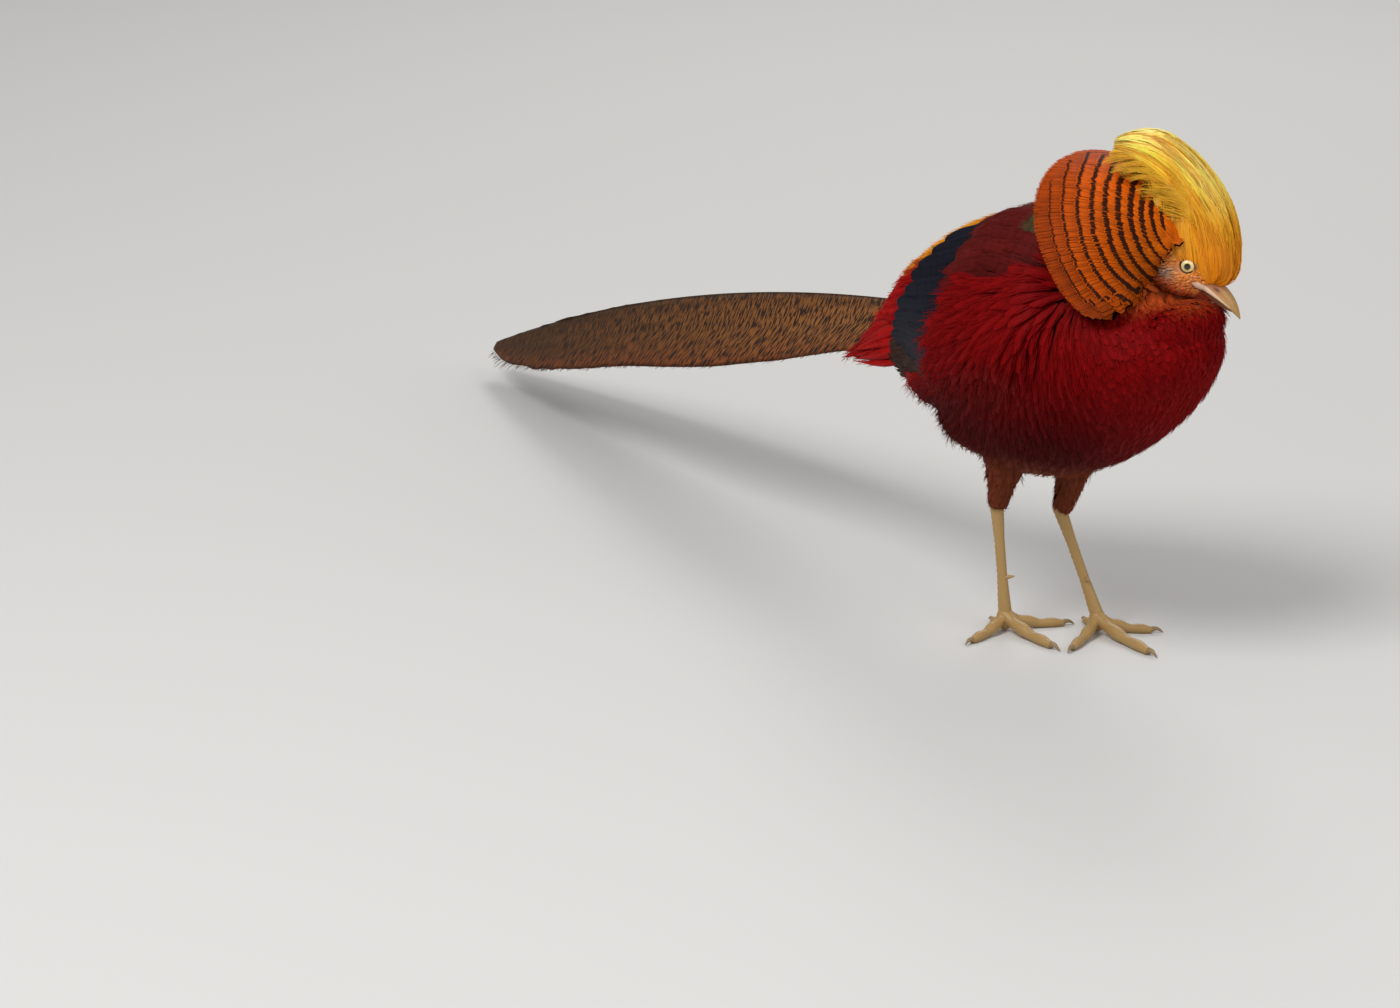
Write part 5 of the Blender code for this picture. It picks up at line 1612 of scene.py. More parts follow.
class Cape:
    """The barred cape: rings of square feathers that fan from the head over the neck."""

    # Each ring's radius and the width of its dark bar, in metres.
    RINGS = (
        (0.0150, 0.0034), (0.0205, 0.0037), (0.0260, 0.0040), (0.0318, 0.0042), (0.0380, 0.0042), (0.0445, 0.0040),
        (0.0512, 0.0037), (0.0582, 0.0033), (0.0655, 0.0028), (0.0730, 0.0022), (0.0800, 0.0016),
    )
    # Where the plain rings of the rim end, as shares of the way to it.
    RIM = (1.0, 1.03)
    # The radius from which on the rings have their full count of feathers.
    FULL = 0.085
    COUNT = 46
    # How far apart the barbs are, in metres.
    PITCH = 0.00088
    # How far back vanes and barbs start, as shares of the way to the rim.
    REACH = 0.34
    BARB_REACH = 0.16
    # Angles at which the cape starts under the throat, and past which it is cut back from the face.
    FIRST = -151.0
    FACE = 24.0

    def __init__(self, shaders: Shaders) -> None:
        finish = Finish(0.5, 0.05, 0.06, 0.0, 0.30, 12.0, 0.0001, (1.0, 0.35, 0.1))
        self.material = shaders.plumage("cape", finish, bars=True)
        self.draw = np.random.default_rng(SEED + 3)

    def build(self) -> None:
        """Lays the rings from the head outwards: broad vanes, and fine barbs side by side over them."""
        vanes = Coat("cape_vanes", "cape_orange", self.material, ("cape",), soft=0.8)
        lining = Coat("cape_lining", "cape_orange", self.material, soft=0.8)
        barbs = Coat("cape_barbs", "cape_orange", self.material, soft=0.5)
        first, last = self.FIRST, CAPE_TURNS[1] + 6
        rings = [(radius, bar, 0.0) for radius, bar in self.RINGS] + [(self.FULL, 0.0, share) for share in self.RIM]
        for ring, (radius, bar, share) in enumerate(rings):
            size = min(radius, self.FULL) / self.FULL
            count = round(self.COUNT * (0.42 + 0.68 * size))
            step = (last - first) / count
            dark = 0.97 if bar else 0.0
            centre = first + step * (np.arange(count) + 0.5 + 0.5 * (ring % 2))
            centre = np.minimum(centre, last + 1)
            ends, turn = self.ends(radius, share, centre), math.radians(step)
            self.lay(vanes, centre, ends, -0.012, (bar, 0.0), turn * 1.3, self.REACH, VANE, 8)
            if ring % 2 or ring == len(rings) - 1:
                self.lay(lining, centre, ends, -0.01, (bar, dark), turn * 1.4, self.REACH, VANE, 6, -1.0)
            rim = np.linalg.norm(cape_surface(1.0, 60.0) - cape_axis(1.0)) * (0.45 + 0.55 * size)
            fine = round(math.radians(last - first) * rim / self.PITCH)
            angle = np.linspace(first, last, fine) + self.draw.normal(0, 0.25, fine)
            place = (angle - first) / step - 0.5 * (ring % 2)
            round_off = (2 * (place % 1.0) - 1) ** 2
            wave = self.draw.normal(0, 0.0030, count + 2)[np.clip(place.astype(int), 0, count + 1)]
            ends, turn = self.ends(radius, share, angle), self.PITCH * 0.75 / rim
            shift = wave - 0.006 * round_off
            self.lay(barbs, angle, ends, shift, (bar, dark), turn, self.BARB_REACH, SPLINTER, 5)
        vanes.build()
        lining.build()
        barbs.build()

    @staticmethod
    def ends(radius: float, share: float, angle: Array) -> Array:
        """Where a ring ends at each angle, as shares of the way to the rim.

        Args:
            radius: The ring's radius round the crest's middle.
            share: Where a ring of the rim ends, or 0 for the others.
            angle: The angles from the nape.

        Returns:
            The shares, -1 where the ring's circle lies inside the face.
        """
        if share:
            return np.full(len(angle), share)
        share = np.linspace(-0.12, 0.97, 90)
        points = cape_surface(share[:, None], -np.abs(angle)[None])
        away = np.hypot(points @ CAPE_ACROSS - CAPE_MIDDLE[0], points @ CAPE_RISE - CAPE_MIDDLE[1])
        away = np.maximum.accumulate(away, axis=0) + 1e-6 * share[:, None]
        return np.array([np.interp(radius, column, share, left=-1.0, right=-1.0) for column in away.T])

    def lay(
        self, coat: Coat, angle: Array, ends: Array, shift: Array | float, bar: tuple[float, float], width: float,
        reach: float, section: Array, stations: int, face: float = 1.0,
    ) -> None:
        """Lays one ring of vanes or of barbs.

        Args:
            coat: Where they are gathered.
            angle: Each one's angle from the nape.
            ends: Where the ring ends at each angle, as a share of the way to the rim.
            shift: How far past it each one ends.
            bar: The dark bar's width, and how dark it is.
            width: Half the width of each as a turn, in radians.
            reach: How far back each one starts.
            section: Its section.
            stations: How many places along each.
            face: 1 on the cape's upper side, -1 on its lower side.
        """
        draw = self.draw
        fine = section is SPLINTER
        share = np.linspace(0, 1, stations)
        keep = ends > np.where(np.abs(angle) > self.FACE, 0.02 if fine else 0.12, -0.10)
        angle, ends, shift = angle[keep], ends[keep], np.broadcast_to(shift, angle.shape)[keep]
        count = len(angle)
        end = ends + shift + draw.normal(0, 0.0022, count)
        reach = np.minimum(reach, end + 0.19 - 0.16 * ease(-angle, 30, 60))[:, None]
        run = end[:, None] - reach * (1 - share)
        centres, normals = surface_frame(cape_surface, run, np.broadcast_to(angle[:, None], run.shape))
        normals = -normals * face
        layer = 0.0006 + 0.0052 * np.clip(run / 0.6, 0, 1) + 0.0024 * (1 - reach * (1 - share) / self.REACH)
        tuck = (0.5 + 0.5 * ease(angle - self.FIRST, 0, 24))[:, None]
        under = (0.0085 * (1 - ease(end, 0.0, 0.22)) * (1 - ease(np.abs(angle), 48, 70)))[:, None]
        lift = layer * tuck - under + draw.uniform(0, 0.0002, (count, 1)) + (0.0006 if fine else 0.0)
        if face < 0:
            lift = 0.0010 + 0.0005 * share - 0.0052 * np.clip(run / 0.6, 0, 1)
        line = Line.through(centres + normals * lift[..., None], normals, draw.normal(0, 2, (count, 1)))
        around = np.linalg.norm(cape_surface(run, 60 + 0 * run) - cape_axis(run), axis=-1)
        half = around * width * (np.array((1.0, 1.0, 1.0, 0.9, 0.45)) if fine else feather_width(share, True))
        size = np.linalg.norm(centres[:, -1] - centres[:, 0], axis=1)
        far = 1 - 0.00035 / size
        mark = np.stack((far - bar[0] / size, far, np.full(count, bar[1])), -1)
        deep = mix(rgb(Tone.CAPE), rgb(Tone.AMBER), 0.30 * (1 - np.clip(end, 0, 1)))
        deep = deep * (1 - 0.40 * ease(end, 0.7, 1.0))[:, None] * (1 - 0.30 * ease(-angle, 110, 145))[:, None]
        deep = deep * (1.0 if fine else 0.8)
        deep = deep * (1 + 0.35 * (1 - ease(np.abs(angle), 30, 75)))[:, None]
        tint = deep * draw.uniform(0.78, 1.22, (count, 1))
        # Painted shade towards the root of each vane and barb, where the ring inside it lies over it.
        shaded = root_shaded(tint, 0.62 if fine else 0.7, 1.12, stations)
        home = turned_home(angle, 0.02 + 0.9 * np.clip(end + 0.1, 0, 1.2) / 1.25)
        coat.sweep(line, half, 0.00022, section, shaded, home, 0.0 if fine else 0.05, mark)


@dataclass(frozen=True)
class Tier:
    """One tier of a folded wing: roots and tips as (x, angle), from the lowest feather to the highest."""

    name: str
    count: int
    low_root: tuple[float, float]
    high_root: tuple[float, float]
    low_tip: tuple[float, float]
    high_tip: tuple[float, float]
    half: float
    lift: float
    tilt: float
    rise: float
    tone: Tone
    gloss: str
    droop: float = 0.0


class Wing:
    """A folded wing: tiers of feathers from the primaries up to the shoulder."""

    TIERS = (
        Tier("primary", 5, (-0.045, 108), (-0.045, 92), (-0.116, 134), (-0.124, 118), 0.0050, 0.0030, 12, 0.45,
             Tone.WING_BROWN, "flight", 0.0080),
        Tier("secondary", 7, (-0.030, 108), (-0.030, 66), (-0.108, 128), (-0.118, 106), 0.0060, 0.0050, 11, 0.45,
             Tone.WING_BROWN, "flight", 0.0065),
        Tier("tertial", 11, (-0.018, 97), (-0.018, 32), (-0.120, 112), (-0.074, 38), 0.0088, 0.0086, 8, 0.5,
             Tone.INK, "gloss", 0.0045),
        Tier("covert", 9, (0.004, 98), (0.004, 34), (-0.052, 100), (-0.058, 40), 0.0078, 0.0104, 8, 0.7,
             Tone.MAROON, "satin"),
        Tier("lower", 10, (0.012, 96), (0.012, 24), (-0.040, 98), (-0.052, 27), 0.0072, 0.0116, 8, 0.7,
             Tone.MAROON, "satin"),
        Tier("middle", 11, (0.022, 94), (0.020, 22), (-0.030, 96), (-0.042, 25), 0.0066, 0.0124, 8, 0.8,
             Tone.MAROON, "satin"),
        Tier("upper", 11, (0.032, 92), (0.026, 22), (-0.016, 94), (-0.028, 24), 0.0062, 0.0132, 8, 0.8,
             Tone.MAROON, "satin"),
        Tier("shoulder", 12, (0.036, 90), (0.032, 22), (0.002, 92), (-0.008, 24), 0.0058, 0.0138, 8, 0.8,
             Tone.MAROON, "satin"),
    )
    FLAT = 0.0070

    def __init__(self, shaders: Shaders) -> None:
        streaks = ((0.065, 0.018, 0.007), {"Across": 260.0, "Along": 420.0, "Cut": 0.56, "Soft": 0.08})
        self.finishes = {
            "flight": shaders.plumage("flight", Finish(0.6, 0.02, 0.10, 0, 0.25, 300.0, 0.0001), mottle=streaks),
            "gloss": shaders.plumage("ink_gloss", Finish(0.5, 0.02, 0.08, 0.0, 0.4, 300.0, 0.0001, (0.3, 0.4, 1.0))),
            "satin": shaders.plumage("satin", Finish(0.6, 0.08, 0.06, 0.0, 0.35, 240.0, 0.0001, (1.0, 0.2, 0.12))),
        }
        self.draw = np.random.default_rng(SEED + 4)

    def build(self) -> None:
        """Makes both wings, each in a piece for each finish."""
        for label, side in (("left", 1), ("right", -1)):
            coats = {}
            for kind, material in self.finishes.items():
                stands = ("wing_" + label,) if kind == "flight" else ()
                coats[kind] = Coat("wing_" + label + "_" + kind, "wing_dark", material, stands, soft=0.75)
            for row, tier in enumerate(self.TIERS):
                self.tier(coats[tier.gloss], tier, side, row)
            for coat in coats.values():
                coat.build()

    def tier(self, coat: Coat, tier: Tier, side: float, row: int) -> None:
        """Lays one tier, each feather over the one below it."""
        draw = self.draw
        s = np.linspace(0, 1, tier.count)[:, None]
        start = np.array(tier.low_root) * (1 - s) + np.array(tier.high_root) * s
        end = np.array(tier.low_tip) * (1 - s) + np.array(tier.high_tip) * s
        end = end + draw.normal(0, 1, end.shape) * np.array((0.0012, 0.8))
        stations = 16
        share = np.linspace(0, 1, stations)
        x = start[:, :1] + (end[:, :1] - start[:, :1]) * share
        angle = start[:, 1:] + (end[:, 1:] - start[:, 1:]) * share
        centres, normals = surface_frame(body_surface, x, angle * side)
        flat = self.FLAT * np.clip((62 - angle) / 36, 0, 1)
        lift = 0.0010 + np.maximum(0.0, tier.lift - flat - 0.0010) * np.minimum(1, share / tier.rise)
        lift = (lift + s * 0.0009) * (0.45 + 0.55 * ease(110 - angle, 0, 34))
        lift = lift + tier.droop * share**1.6
        edge = np.interp(angle, *np.array(FLANK_EDGE).T)
        lift = lift - 0.0034 * ease(x - edge, -0.006, 0.010) * (angle > 44)
        line = Line.through(centres + normals * lift[..., None], normals, tier.tilt * side)
        half = tier.half * draw.uniform(0.94, 1.06, (tier.count, 1)) * feather_width(share)
        ragged = 1 + 0.03 * draw.normal(0, 1, half.shape)
        tint = rgb(tier.tone) * draw.uniform(0.85, 1.15, (tier.count, 1))
        tint = np.broadcast_to(tint[:, None], centres.shape)
        if tier.tone is Tone.MAROON:
            tint = tint * (1 - 0.60 * ease(angle, 45, 88))[..., None]
            green = ease(x, -0.012, -0.002) * (1 - ease(angle, 27, 36))
            tint = mix(tint, rgb(Tone.MANTLE), green)
        home = np.stack(((np.arange(tier.count) + 0.5) / tier.count, np.full(tier.count, row / 8.0)), -1)
        coat.sweep(
            line, half * ragged, 0.0004, BROAD, tint, home, 0.16,
            patch=(0.9 / tier.count, 0.11), metres=True,
        )
        fringe = Fringe(36, (0.35, 0.98), (3, 20), (0.0025, 0.0065), 0.00014, 0.0003)
        add_fringe(coat, line, fringe, half.max(1), tint[:, -4], home, draw)


class Tail:
    """The long tail: two roofed middle feathers over narrower ones on each side, and red plumes at its root."""

    # Places along each vane, the loose barbs of a middle and of another vane, and the plumes of a side with
    # the places along each.
    STATIONS = 150
    STRANDS = (420, 130)
    PLUMES = (34, 12)
    # Where the longest plumes end, on the left side.
    PLUME_TIP = (-0.174, 0.0305, 0.1525)

    def __init__(self, shaders: Shaders) -> None:
        streaks = ((0.026, 0.011, 0.006), {"Across": 130.0, "Along": 560.0, "Cut": 0.48, "Soft": 0.05})
        finish = Finish(0.62, 0.03, 0.12, 0, 0.25, 420.0, 0.00012, (1.0, 0.7, 0.4))
        self.material = shaders.plumage("tail", finish, mottle=streaks)
        self.velvet = shaders.plumage("plume", Finish(0.55, 0.12, 0.10, 0.0, 0.35, 14.0, 0.00015, (1.0, 0.15, 0.1)))
        self.draw = np.random.default_rng(SEED + 5)
        self.axis = TAIL_TIP - TAIL_ROOT
        self.ahead = unit(self.axis)
        self.side = unit(np.cross(self.ahead, WORLD_UP))
        self.above = np.cross(self.side, self.ahead)

    def ridge(self, share: Array, level: float) -> Array:
        """Points on the tail's ridge, lower for each level."""
        share = np.asarray(share, float)
        arch = 4 * share * (1 - share) * TAIL_ARCH - TAIL_STEP * level
        return TAIL_ROOT + self.axis * share[:, None] + self.above * arch[:, None]

    def build(self) -> None:
        """Makes the vanes, their loose edges and the plumes."""
        coat = Coat("tail_vanes", "tail_brown", self.material, ("tail",))
        share = np.linspace(-0.06, 1, self.STATIONS)
        lane = 0
        for level, reach in ((0, 1.0), (1, 0.93)):
            width = TAIL_HALF * TAIL(share)[0] + (0.026 - 0.003 * level) * (1 - ease(share, 0.26, 0.68))
            flat = np.minimum(1.0, 0.85 + np.maximum(share, 0.0))
            slope = np.radians(TAIL_ROOF) * flat
            for sign in (1, -1):
                out = self.side * (sign * np.cos(slope))[:, None] - self.above * np.sin(slope)[:, None]
                normal = self.side * (sign * np.sin(slope))[:, None] + self.above * np.cos(slope)[:, None]
                inner = self.ridge(share * reach, level)
                centres = inner + out * (width / 2)[:, None]
                self.vane(coat, centres, out, normal, width / 2 + 0.0002, sign, lane, level)
                lane += 1
        for sign in (1, -1):
            for k, reach in enumerate(TAIL_SIDE_SHARES):
                slope = math.radians(TAIL_ROOF + 3.0 * k)
                out = self.side * sign * math.cos(slope) - self.above * math.sin(slope)
                normal = self.side * sign * math.sin(slope) + self.above * math.cos(slope)
                full = TAIL_HALF * TAIL(share * reach)[0]
                width = full * 0.47 * (1.0 - 0.80 * np.clip((share - 0.6) / 0.4, 0, 1))
                centres = self.ridge(share * reach, 2 + k) + out * (0.0012 + full * 0.50 + 0.0010 * k)[:, None]
                outs, ups = np.broadcast_to(out, centres.shape), np.broadcast_to(normal, centres.shape)
                self.vane(coat, centres, outs, ups, width, sign, lane, 2 + k)
                lane += 1
        coat.build()
        self.plumes()

    def vane(
        self, coat: Coat, centres: Array, out: Array, normal: Array, half: Array, sign: float, lane: int, level: int,
    ) -> None:
        """One side of a tail feather, with loose barbs along its outer edge.

        Args:
            coat: Where it is gathered.
            centres: Its middle line.
            out: The ways to its outer edge.
            normal: The ways up from it.
            half: Its half widths.
            sign: 1 on the bird's left, -1 on its right.
            lane: Its strip of the unwrap.
            level: How many feathers lie over it.
        """
        draw = self.draw
        count = len(centres)
        share = np.linspace(0, 1, count)
        ragged = 1 + 0.035 * np.interp(share, np.linspace(0, 1, 60), draw.normal(0, 1, 60)) * ease(share, 0.5, 0.9)
        sides = out * (1.0 if sign > 0 else -1.0)
        line = Line(centres[None], sides[None], normal[None])
        tone = mix(rgb(Tone.TAIL), rgb(Tone.RUFOUS) * 1.2, 0.12 * level)
        # Darker towards the tip: partly painted shade, partly the tail's own colour.
        tone = tone * (1.10 - 0.72 * ease(share, 0.12, 0.95))[:, None]
        section = BROAD.copy()
        section[3:6, 1] = 0.6
        outer = np.broadcast_to(section[:, 0] * sign, (count, len(section)))
        shaded = mix(tone[:, None], rgb(Tone.RUFOUS), 0.75 * ease(outer, 0.2, 1.0) * (level < 2))
        shaded = shaded * (1 - 0.35 * ease(-outer, 0.5, 1.0))[..., None]
        home = np.array(((0.04 + lane * 0.065, 0.01),))
        coat.sweep(
            line, (half * ragged)[None], 0.0005, section, shaded[None], home, patch=(0.055, 0.98), metres=True,
        )
        strands = self.STRANDS[0 if level < 2 else 1]
        place = draw.uniform(0.03, 1.0, strands)
        i = np.minimum((place * (count - 1)).astype(int), count - 1)
        lead = unit(np.gradient(centres, axis=0))[i]
        root = centres[i] + out[i] * (half[i] * 0.93)[:, None]
        length = draw.uniform(0.002, 0.007, strands) * (1 + 0.9 * ease(place, 0.72, 1.0))
        lean = np.radians(draw.uniform(18, 42, strands))
        way = lead * np.cos(lean)[:, None] + out[i] * np.sin(lean)[:, None]
        steps = np.linspace(0, 1, 3)[None, :, None]
        run = root[:, None] + way[:, None] * length[:, None, None] * steps
        run = run + normal[i][:, None] * draw.normal(0, 0.0004, (strands, 1, 1)) * steps
        strand = Line.through(run, normal[i][:, None])
        width = 0.00022 * np.array((1.0, 0.8, 0.3))
        shade = mix(tone[i], rgb(Tone.RUFOUS), 0.5) * draw.uniform(0.3, 1.0, (strands, 1))
        coat.sweep(strand, width, width, SPLINTER, shade, np.repeat(home, strands, axis=0), metres=True)

    def plumes(self) -> None:
        """The scarlet plumes that run back beside the root of the tail."""
        draw = self.draw
        coat = Coat("tail_plumes", "plumage_red", self.velvet, ("tail_coverts",))
        for sign in (1, -1):
            count, stations = self.PLUMES
            rank = np.sort(draw.uniform(0, 1, count))
            x = draw.uniform(-0.146, -0.116, count)
            start = np.stack((x, np.full(count, 0.035 * sign), 0.184 - 0.030 * rank), -1)
            _, angle = body_place(start)
            root, normal = surface_frame(body_surface, x, angle)
            reach = draw.uniform(0.60, 1.04, count) * (0.72 + 0.28 * np.sin(np.pi * (0.15 + 0.7 * rank)))
            goal = np.array(self.PLUME_TIP) * (1.0, sign, 1.0) + draw.normal(0, 1, (count, 3)) * (0.0, 0.0016, 0.0020)
            tip = root + (goal - root) * reach[:, None]
            lead = unit(tip - root)
            out = unit(normal - lead * dot(normal, lead))
            share = np.linspace(0, 1, stations)[None, :, None]
            run = root[:, None] + (tip - root)[:, None] * share
            run = run + out[:, None] * (0.0018 + 0.0045 * np.sin(np.pi * share**0.8) + 0.0012 * rank[:, None, None])
            line = Line.through(run, out[:, None], 6 * sign + draw.normal(0, 6, (count, 1)))
            t = share[0, :, 0]
            wide = 0.0034 * draw.uniform(0.8, 1.2, count)
            half = wide[:, None] * np.minimum(1, 0.6 + t / 0.3) * (1 - 0.93 * ease(t, 0.25, 1.0))
            tint = rgb(Tone.SCARLET) * draw.uniform(0.7, 1.15, (count, 1))
            home = turned_home(angle, (x + 0.18) / 0.08)
            coat.sweep(line, half, 0.0004, VANE, tint, home, 0.25)
            fringe = Fringe(14, (0.2, 0.95), (5, 15), (0.004, 0.008), 0.00018, 0.0004)
            add_fringe(coat, line, fringe, wide * 0.7, tint, home, draw)
        coat.build()


@dataclass(frozen=True)
class Scutes:
    """The plates down the front of a shank or a toe, and the net of small scales behind them."""

    # The turns from the front between which the plates give way to the net.
    front: tuple[float, float]
    # The count of plates, as a number and its divisor, and how far one side's are shifted.
    plates: tuple[float, float]
    shift: float
    # How high a plate rises, and its groove's depth and start.
    rise: float
    groove: tuple[float, float]
    # The depth of the seam down the middle, and the height of the ridges at the front and the back.
    seam: float
    ridge: float
    # The net's height, its waves along the line as a number and a factor, and its waves round the line.
    net: tuple[float, float, float, float]

    def __call__(self, share: Array, turn: Array) -> Array:
        """How high the skin stands.

        Args:
            share: Shares of the way along the line.
            turn: Turns from the front, in radians.

        Returns:
            The heights, in metres.
        """
        wrapped = (turn + np.pi) % (2 * np.pi) - np.pi
        front = 1 - ease(np.abs(wrapped), *self.front)
        step = (share * self.plates[0] / self.plates[1] + self.shift * (wrapped > 0)) % 1.0
        depth, start = self.groove
        plate = self.rise * step - depth * ease(step, start, 0.99)
        seam = self.seam * np.exp(-((wrapped / 0.09) ** 2))
        height, reach, along, around = self.net
        net = height * np.cos(share * reach * along) * np.cos(wrapped * around)
        return front * (plate - seam) + (1 - front) * net + self.ridge * np.cos(wrapped) ** 2


class Legs:
    """The scaled shanks and toes, with spurs and claws."""

    CLAW_TONE = (0.30, 0.20, 0.09)
    SPUR_LENGTH = 0.006
    TOE_PLATE = 0.0024
    SHANK = Scutes((1.25, 1.55), (19, 1.0), 0.5, 0.00042, (0.00036, 0.86), 0.00022, 0.0004, (0.00016, 1.0, 170, 9))

    def __init__(self, shaders: Shaders) -> None:
        self.scale = shaders.skin("scales", Finish(0.48, 0.05, 0.45, 0.12, 0.2, 0, 0.00008), 1400.0)
        self.horn = shaders.skin("claw_horn", Finish(0.4, 0.0, 0.5, 0.2, 0.2, 0, 0.00005), 900.0)

    def tube(self, line: Array, radii: Array, sides: int, up: Array, bump: Callable | None = None) -> Array:
        """Rings of points round a line.

        Args:
            line: The line's points.
            radii: The radius at each.
            sides: How many points in a ring.
            up: The way of a ring's first point, as near as the line allows.
            bump: How far the places at a share and a turn are raised.

        Returns:
            The rings' points.
        """
        ahead = unit(np.gradient(line, axis=0))
        across = unit(np.cross(ahead, up))
        above = np.cross(across, ahead)
        turn = np.linspace(0, 2 * np.pi, sides, endpoint=False)
        share = np.linspace(0, 1, len(line))
        size = np.broadcast_to(radii[:, None], (len(line), sides))
        if bump is not None:
            size = size + bump(share[:, None], turn[None])
        return (
            line[:, None] + across[:, None] * (size * np.sin(turn))[..., None]
            + above[:, None] * (size * np.cos(turn))[..., None]
        )

    def build(self) -> None:
        """Makes both legs and their claws."""
        for label in ("left", "right"):
            self.leg(label)

    def leg(self, label: str) -> None:
        """One shank with its foot, and the claws in one piece."""
        hock, foot = np.array(HOCKS[label]), np.array(FEET[label])
        lead = unit(foot - hock)
        across = np.array((0.0, 1.0, 0.0))
        across = unit(across - lead * (across @ lead))
        ahead = np.cross(across, lead)
        shapes: list[tuple[Array, Array]] = []
        share = np.linspace(0, 1, 110)
        line = (hock - lead * 0.004)[None] * (1 - share[:, None]) + foot[None] * share[:, None]
        radii = np.interp(share, np.linspace(0, 1, 4), TARSUS_RADII)
        shapes.append((self.tube(line, radii * 0.92, 40, ahead, self.SHANK), share))
        claws: list[Array] = []
        toes = zip(TOE_HEADINGS[label], TOE_LENGTHS[label], TOE_RADII, CLAW_LENGTHS)
        for heading, length, radius, claw in toes:
            turn = math.radians(heading)
            way = np.array((math.cos(turn), math.sin(turn), 0.0))
            s = np.linspace(0, 1, 64)
            pad = 1 + 0.10 * np.cos(2 * np.pi * 2.5 * s)
            thick = radius * (1.18 - 0.38 * s) * pad
            base = foot + np.array((0, 0, -0.001))
            height = base[2] * (1 - s) ** 3 + (thick - 0.0005) * (1 - (1 - s) ** 3)
            line = np.array((base[0], base[1], 0.0)) + way * (length * s)[:, None]
            line = line + WORLD_UP * height[:, None]
            plates, net = (length, self.TOE_PLATE), (0.00013, length, 3000, 8)
            scutes = Scutes((1.0, 1.4), plates, 0.0, 0.0003, (0.0003, 0.84), 0.0, 0.0, net)
            shapes.append((self.tube(line, thick, 24, WORLD_UP, scutes), s))
            tip, size = line[-1], thick[-1]
            s = np.linspace(0, 1, 18)
            rise = size * 0.75 * np.sin(np.pi * s) + (0.0006 - tip[2]) * s**1.4
            points = tip + way * (claw * s - 0.0012)[:, None] + WORLD_UP * rise[:, None]
            sizes = size * 0.78 * (1 - s) ** 0.75 + 0.0002
            claws.append(self.tube(points, sizes, 14, WORLD_UP))
        inward = 1 if label == "right" else -1
        spur = hock * 0.34 + foot * 0.66 - ahead * 0.001
        end = spur - ahead * self.SPUR_LENGTH + across * (inward * 0.004) + np.array((0, 0, 0.001))
        s = np.linspace(0, 1, 12)
        line = spur * (1 - s[:, None]) + end * s[:, None]
        shapes.append((self.tube(line, 0.0018 * (1 - s) ** 0.7 + 0.0002, 14, WORLD_UP), s))
        s = np.linspace(-1, 1, 16)
        line = foot + WORLD_UP * (0.0075 * s - 0.003)[:, None]
        ball = 0.0056 * np.sqrt(np.maximum(0.02, 1 - s**2))
        shapes.append((self.tube(line, ball, 24, np.array((1.0, 0, 0))), s))
        self.gather("leg_" + label + "_scales", "leg_scale", self.scale, [a for a, _ in shapes],
                    rgb(Tone.SHANK), ("leg_" + label,))
        self.gather("claws_" + label, "horn", self.horn, claws, np.array(self.CLAW_TONE),
                    tuple("claw_" + label + "_" + name for name in ("inner", "middle", "outer", "hind")))

    def gather(
        self, name: str, slot: str, material: bpy.types.Material, shapes: list[Array], tone: Array,
        replaces: tuple[str, ...],
    ) -> None:
        """Joins rings of points into one piece.

        Args:
            name: The piece's name.
            slot: Not used.
            material: Its material.
            shapes: Each shape's rings.
            tone: Its colour, which is painted darker at the floor as shade where the feet meet it.
            replaces: The nodes of the solids that it stands for.
        """
        points, faces, bakes, used = [], [], [], 0
        for i, shape in enumerate(shapes):
            rows, columns = shape.shape[:2]
            flat = shape.reshape(-1, 3).copy()
            flat[:, 2] = np.maximum(flat[:, 2], 0.0)
            points.append(flat)
            faces += [part + used for part in grid_faces(rows, columns)]
            u, v = np.meshgrid(np.linspace(0, 1, columns), np.linspace(0, 1, rows))
            bakes.append(np.stack((0.02 + (i + u) / (len(shapes) + 0.2) * 0.95, v), -1).reshape(-1, 2))
            used += len(flat)
        cloud = np.concatenate(points)
        # Painted shade within 4 mm of the floor, where the feet meet it.
        low = 1 - 0.25 * ease(-cloud[:, 2], -0.004, 0.0)
        tint = tone * low[:, None]
        mesh_piece(
            name, slot, material, cloud, faces, tint, bakes=np.concatenate(bakes), replaces=replaces,
        )


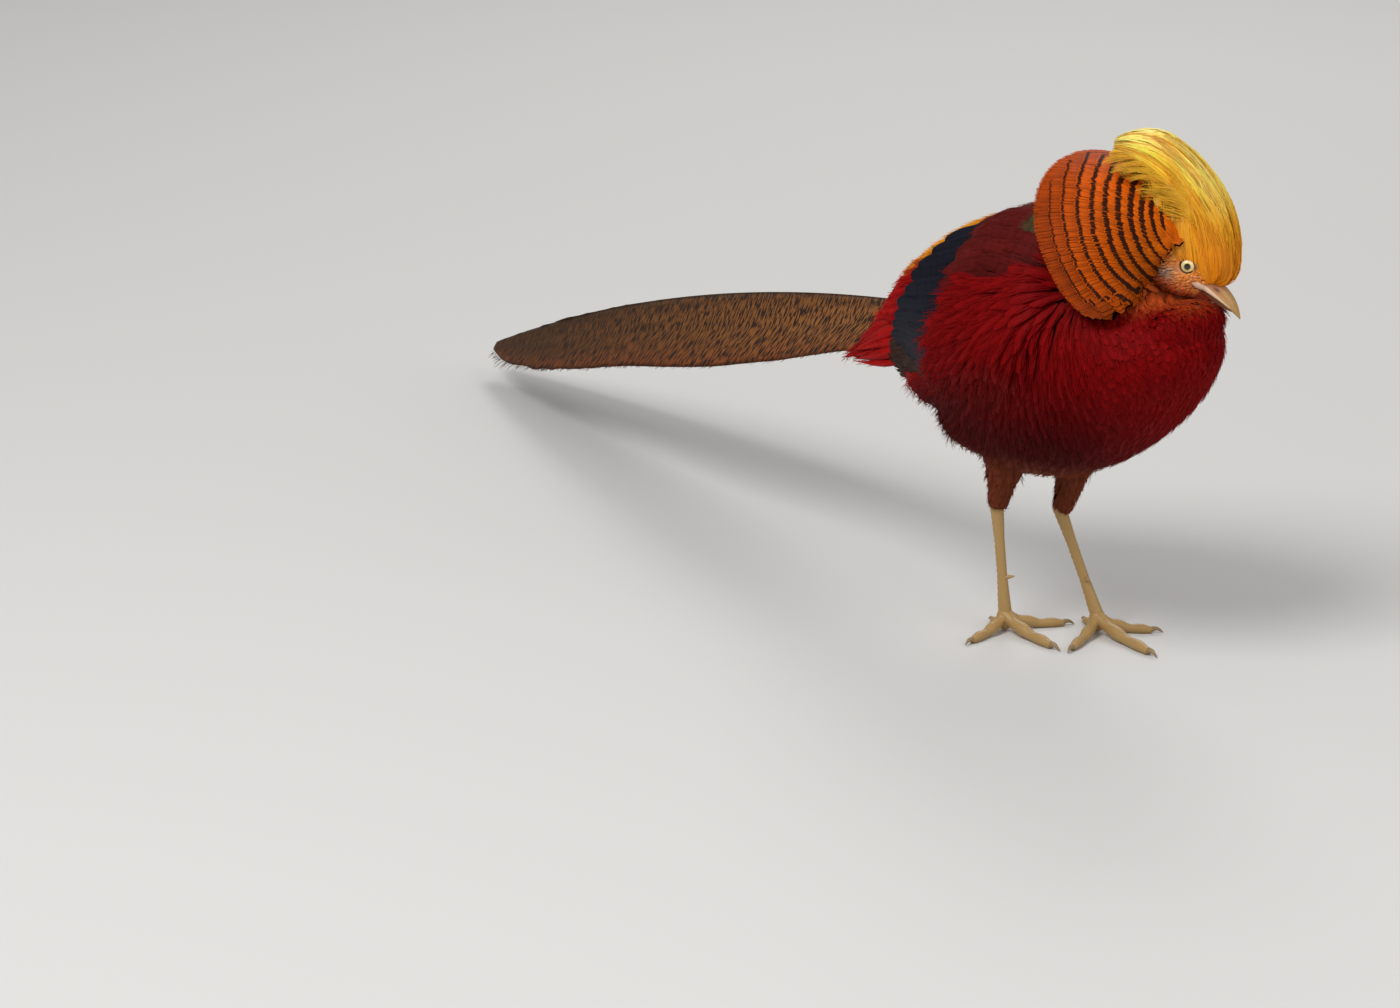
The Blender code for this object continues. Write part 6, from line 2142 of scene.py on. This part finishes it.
class Stage:
    """The floor, the lights and the camera."""

    FLOOR_COLOUR = (0.72, 0.715, 0.70, 1.0)
    SKY_COLOUR = (1.0, 0.985, 0.965, 1.0)
    SKY_STRENGTH = 0.36
    # Each light's name, place, size and power.
    LIGHTS = (
        ("key", (0.5, -1.7, 2.3), 1.3, 42.0), ("fill", (2.4, 0.2, 1.3), 1.8, 12.0),
        ("rim", (-1.2, 1.6, 1.9), 1.2, 16.0),
    )
    LIT_POINT = (0.0, 0.0, 0.15)
    LENS = 123.43
    CAMERA_PLACE = (2.027, -1.999, 0.977)
    CAMERA_AHEAD = (-0.7310, 0.6134, -0.2987)

    def build(self) -> None:
        """Makes all of them."""
        self.floor()
        self.lights()
        self.camera()

    def floor(self) -> None:
        """A wide, plain pale floor."""
        bpy.ops.object.select_all(action="DESELECT")
        bpy.ops.mesh.primitive_plane_add(size=60.0, location=(0, 0, -0.0001))
        floor = bpy.context.object
        floor.name = "floor"
        made = bpy.data.materials.new("floor_pale")
        made.use_nodes = True
        shader = made.node_tree.nodes["Principled BSDF"]
        shader.inputs["Base Color"].default_value = self.FLOOR_COLOUR
        shader.inputs["Roughness"].default_value = 0.9
        floor.data.materials.append(made)

    def lights(self) -> None:
        """A big soft key from above the camera's left, a fill, a rim and a pale sky."""
        world = bpy.data.worlds.new("studio")
        bpy.context.scene.world = world
        world.use_nodes = True
        sky = world.node_tree.nodes["Background"]
        sky.inputs["Color"].default_value = self.SKY_COLOUR
        sky.inputs["Strength"].default_value = self.SKY_STRENGTH
        for name, place, size, power in self.LIGHTS:
            light = bpy.data.lights.new(name, "AREA")
            light.shape = "DISK"
            light.size = size
            light.energy = power
            item = bpy.data.objects.new(name, light)
            item.location = place
            item.rotation_euler = (Vector(self.LIT_POINT) - Vector(place)).to_track_quat("-Z", "Y").to_euler()
            bpy.context.scene.collection.objects.link(item)

    def camera(self) -> None:
        """The photo's viewpoint: from the bird's front right, a little above it."""
        data = bpy.data.cameras.new("camera")
        data.lens = self.LENS
        data.sensor_width = 36.0
        data.clip_end = 100.0
        camera = bpy.data.objects.new("camera", data)
        camera.location = Vector(self.CAMERA_PLACE) + Vector(SHIFT)
        camera.rotation_euler = Vector(self.CAMERA_AHEAD).to_track_quat("-Z", "Y").to_euler()
        bpy.context.scene.collection.objects.link(camera)
        bpy.context.scene.camera = camera
        bpy.context.scene.view_settings.view_transform = "Standard"


def main() -> None:
    shaders = Shaders()
    form = Form()
    BodyCoat(form, shaders).build()
    Flesh(form, shaders).build()
    Face(shaders).build()
    Eyes(shaders).build()
    Bill(shaders).build()
    Crest(shaders).build()
    Cape(shaders).build()
    Wing(shaders).build()
    Tail(shaders).build()
    Legs(shaders).build()
    Stage().build()
    bpy.context.view_layer.update()


if __name__ == "__main__":
    main()
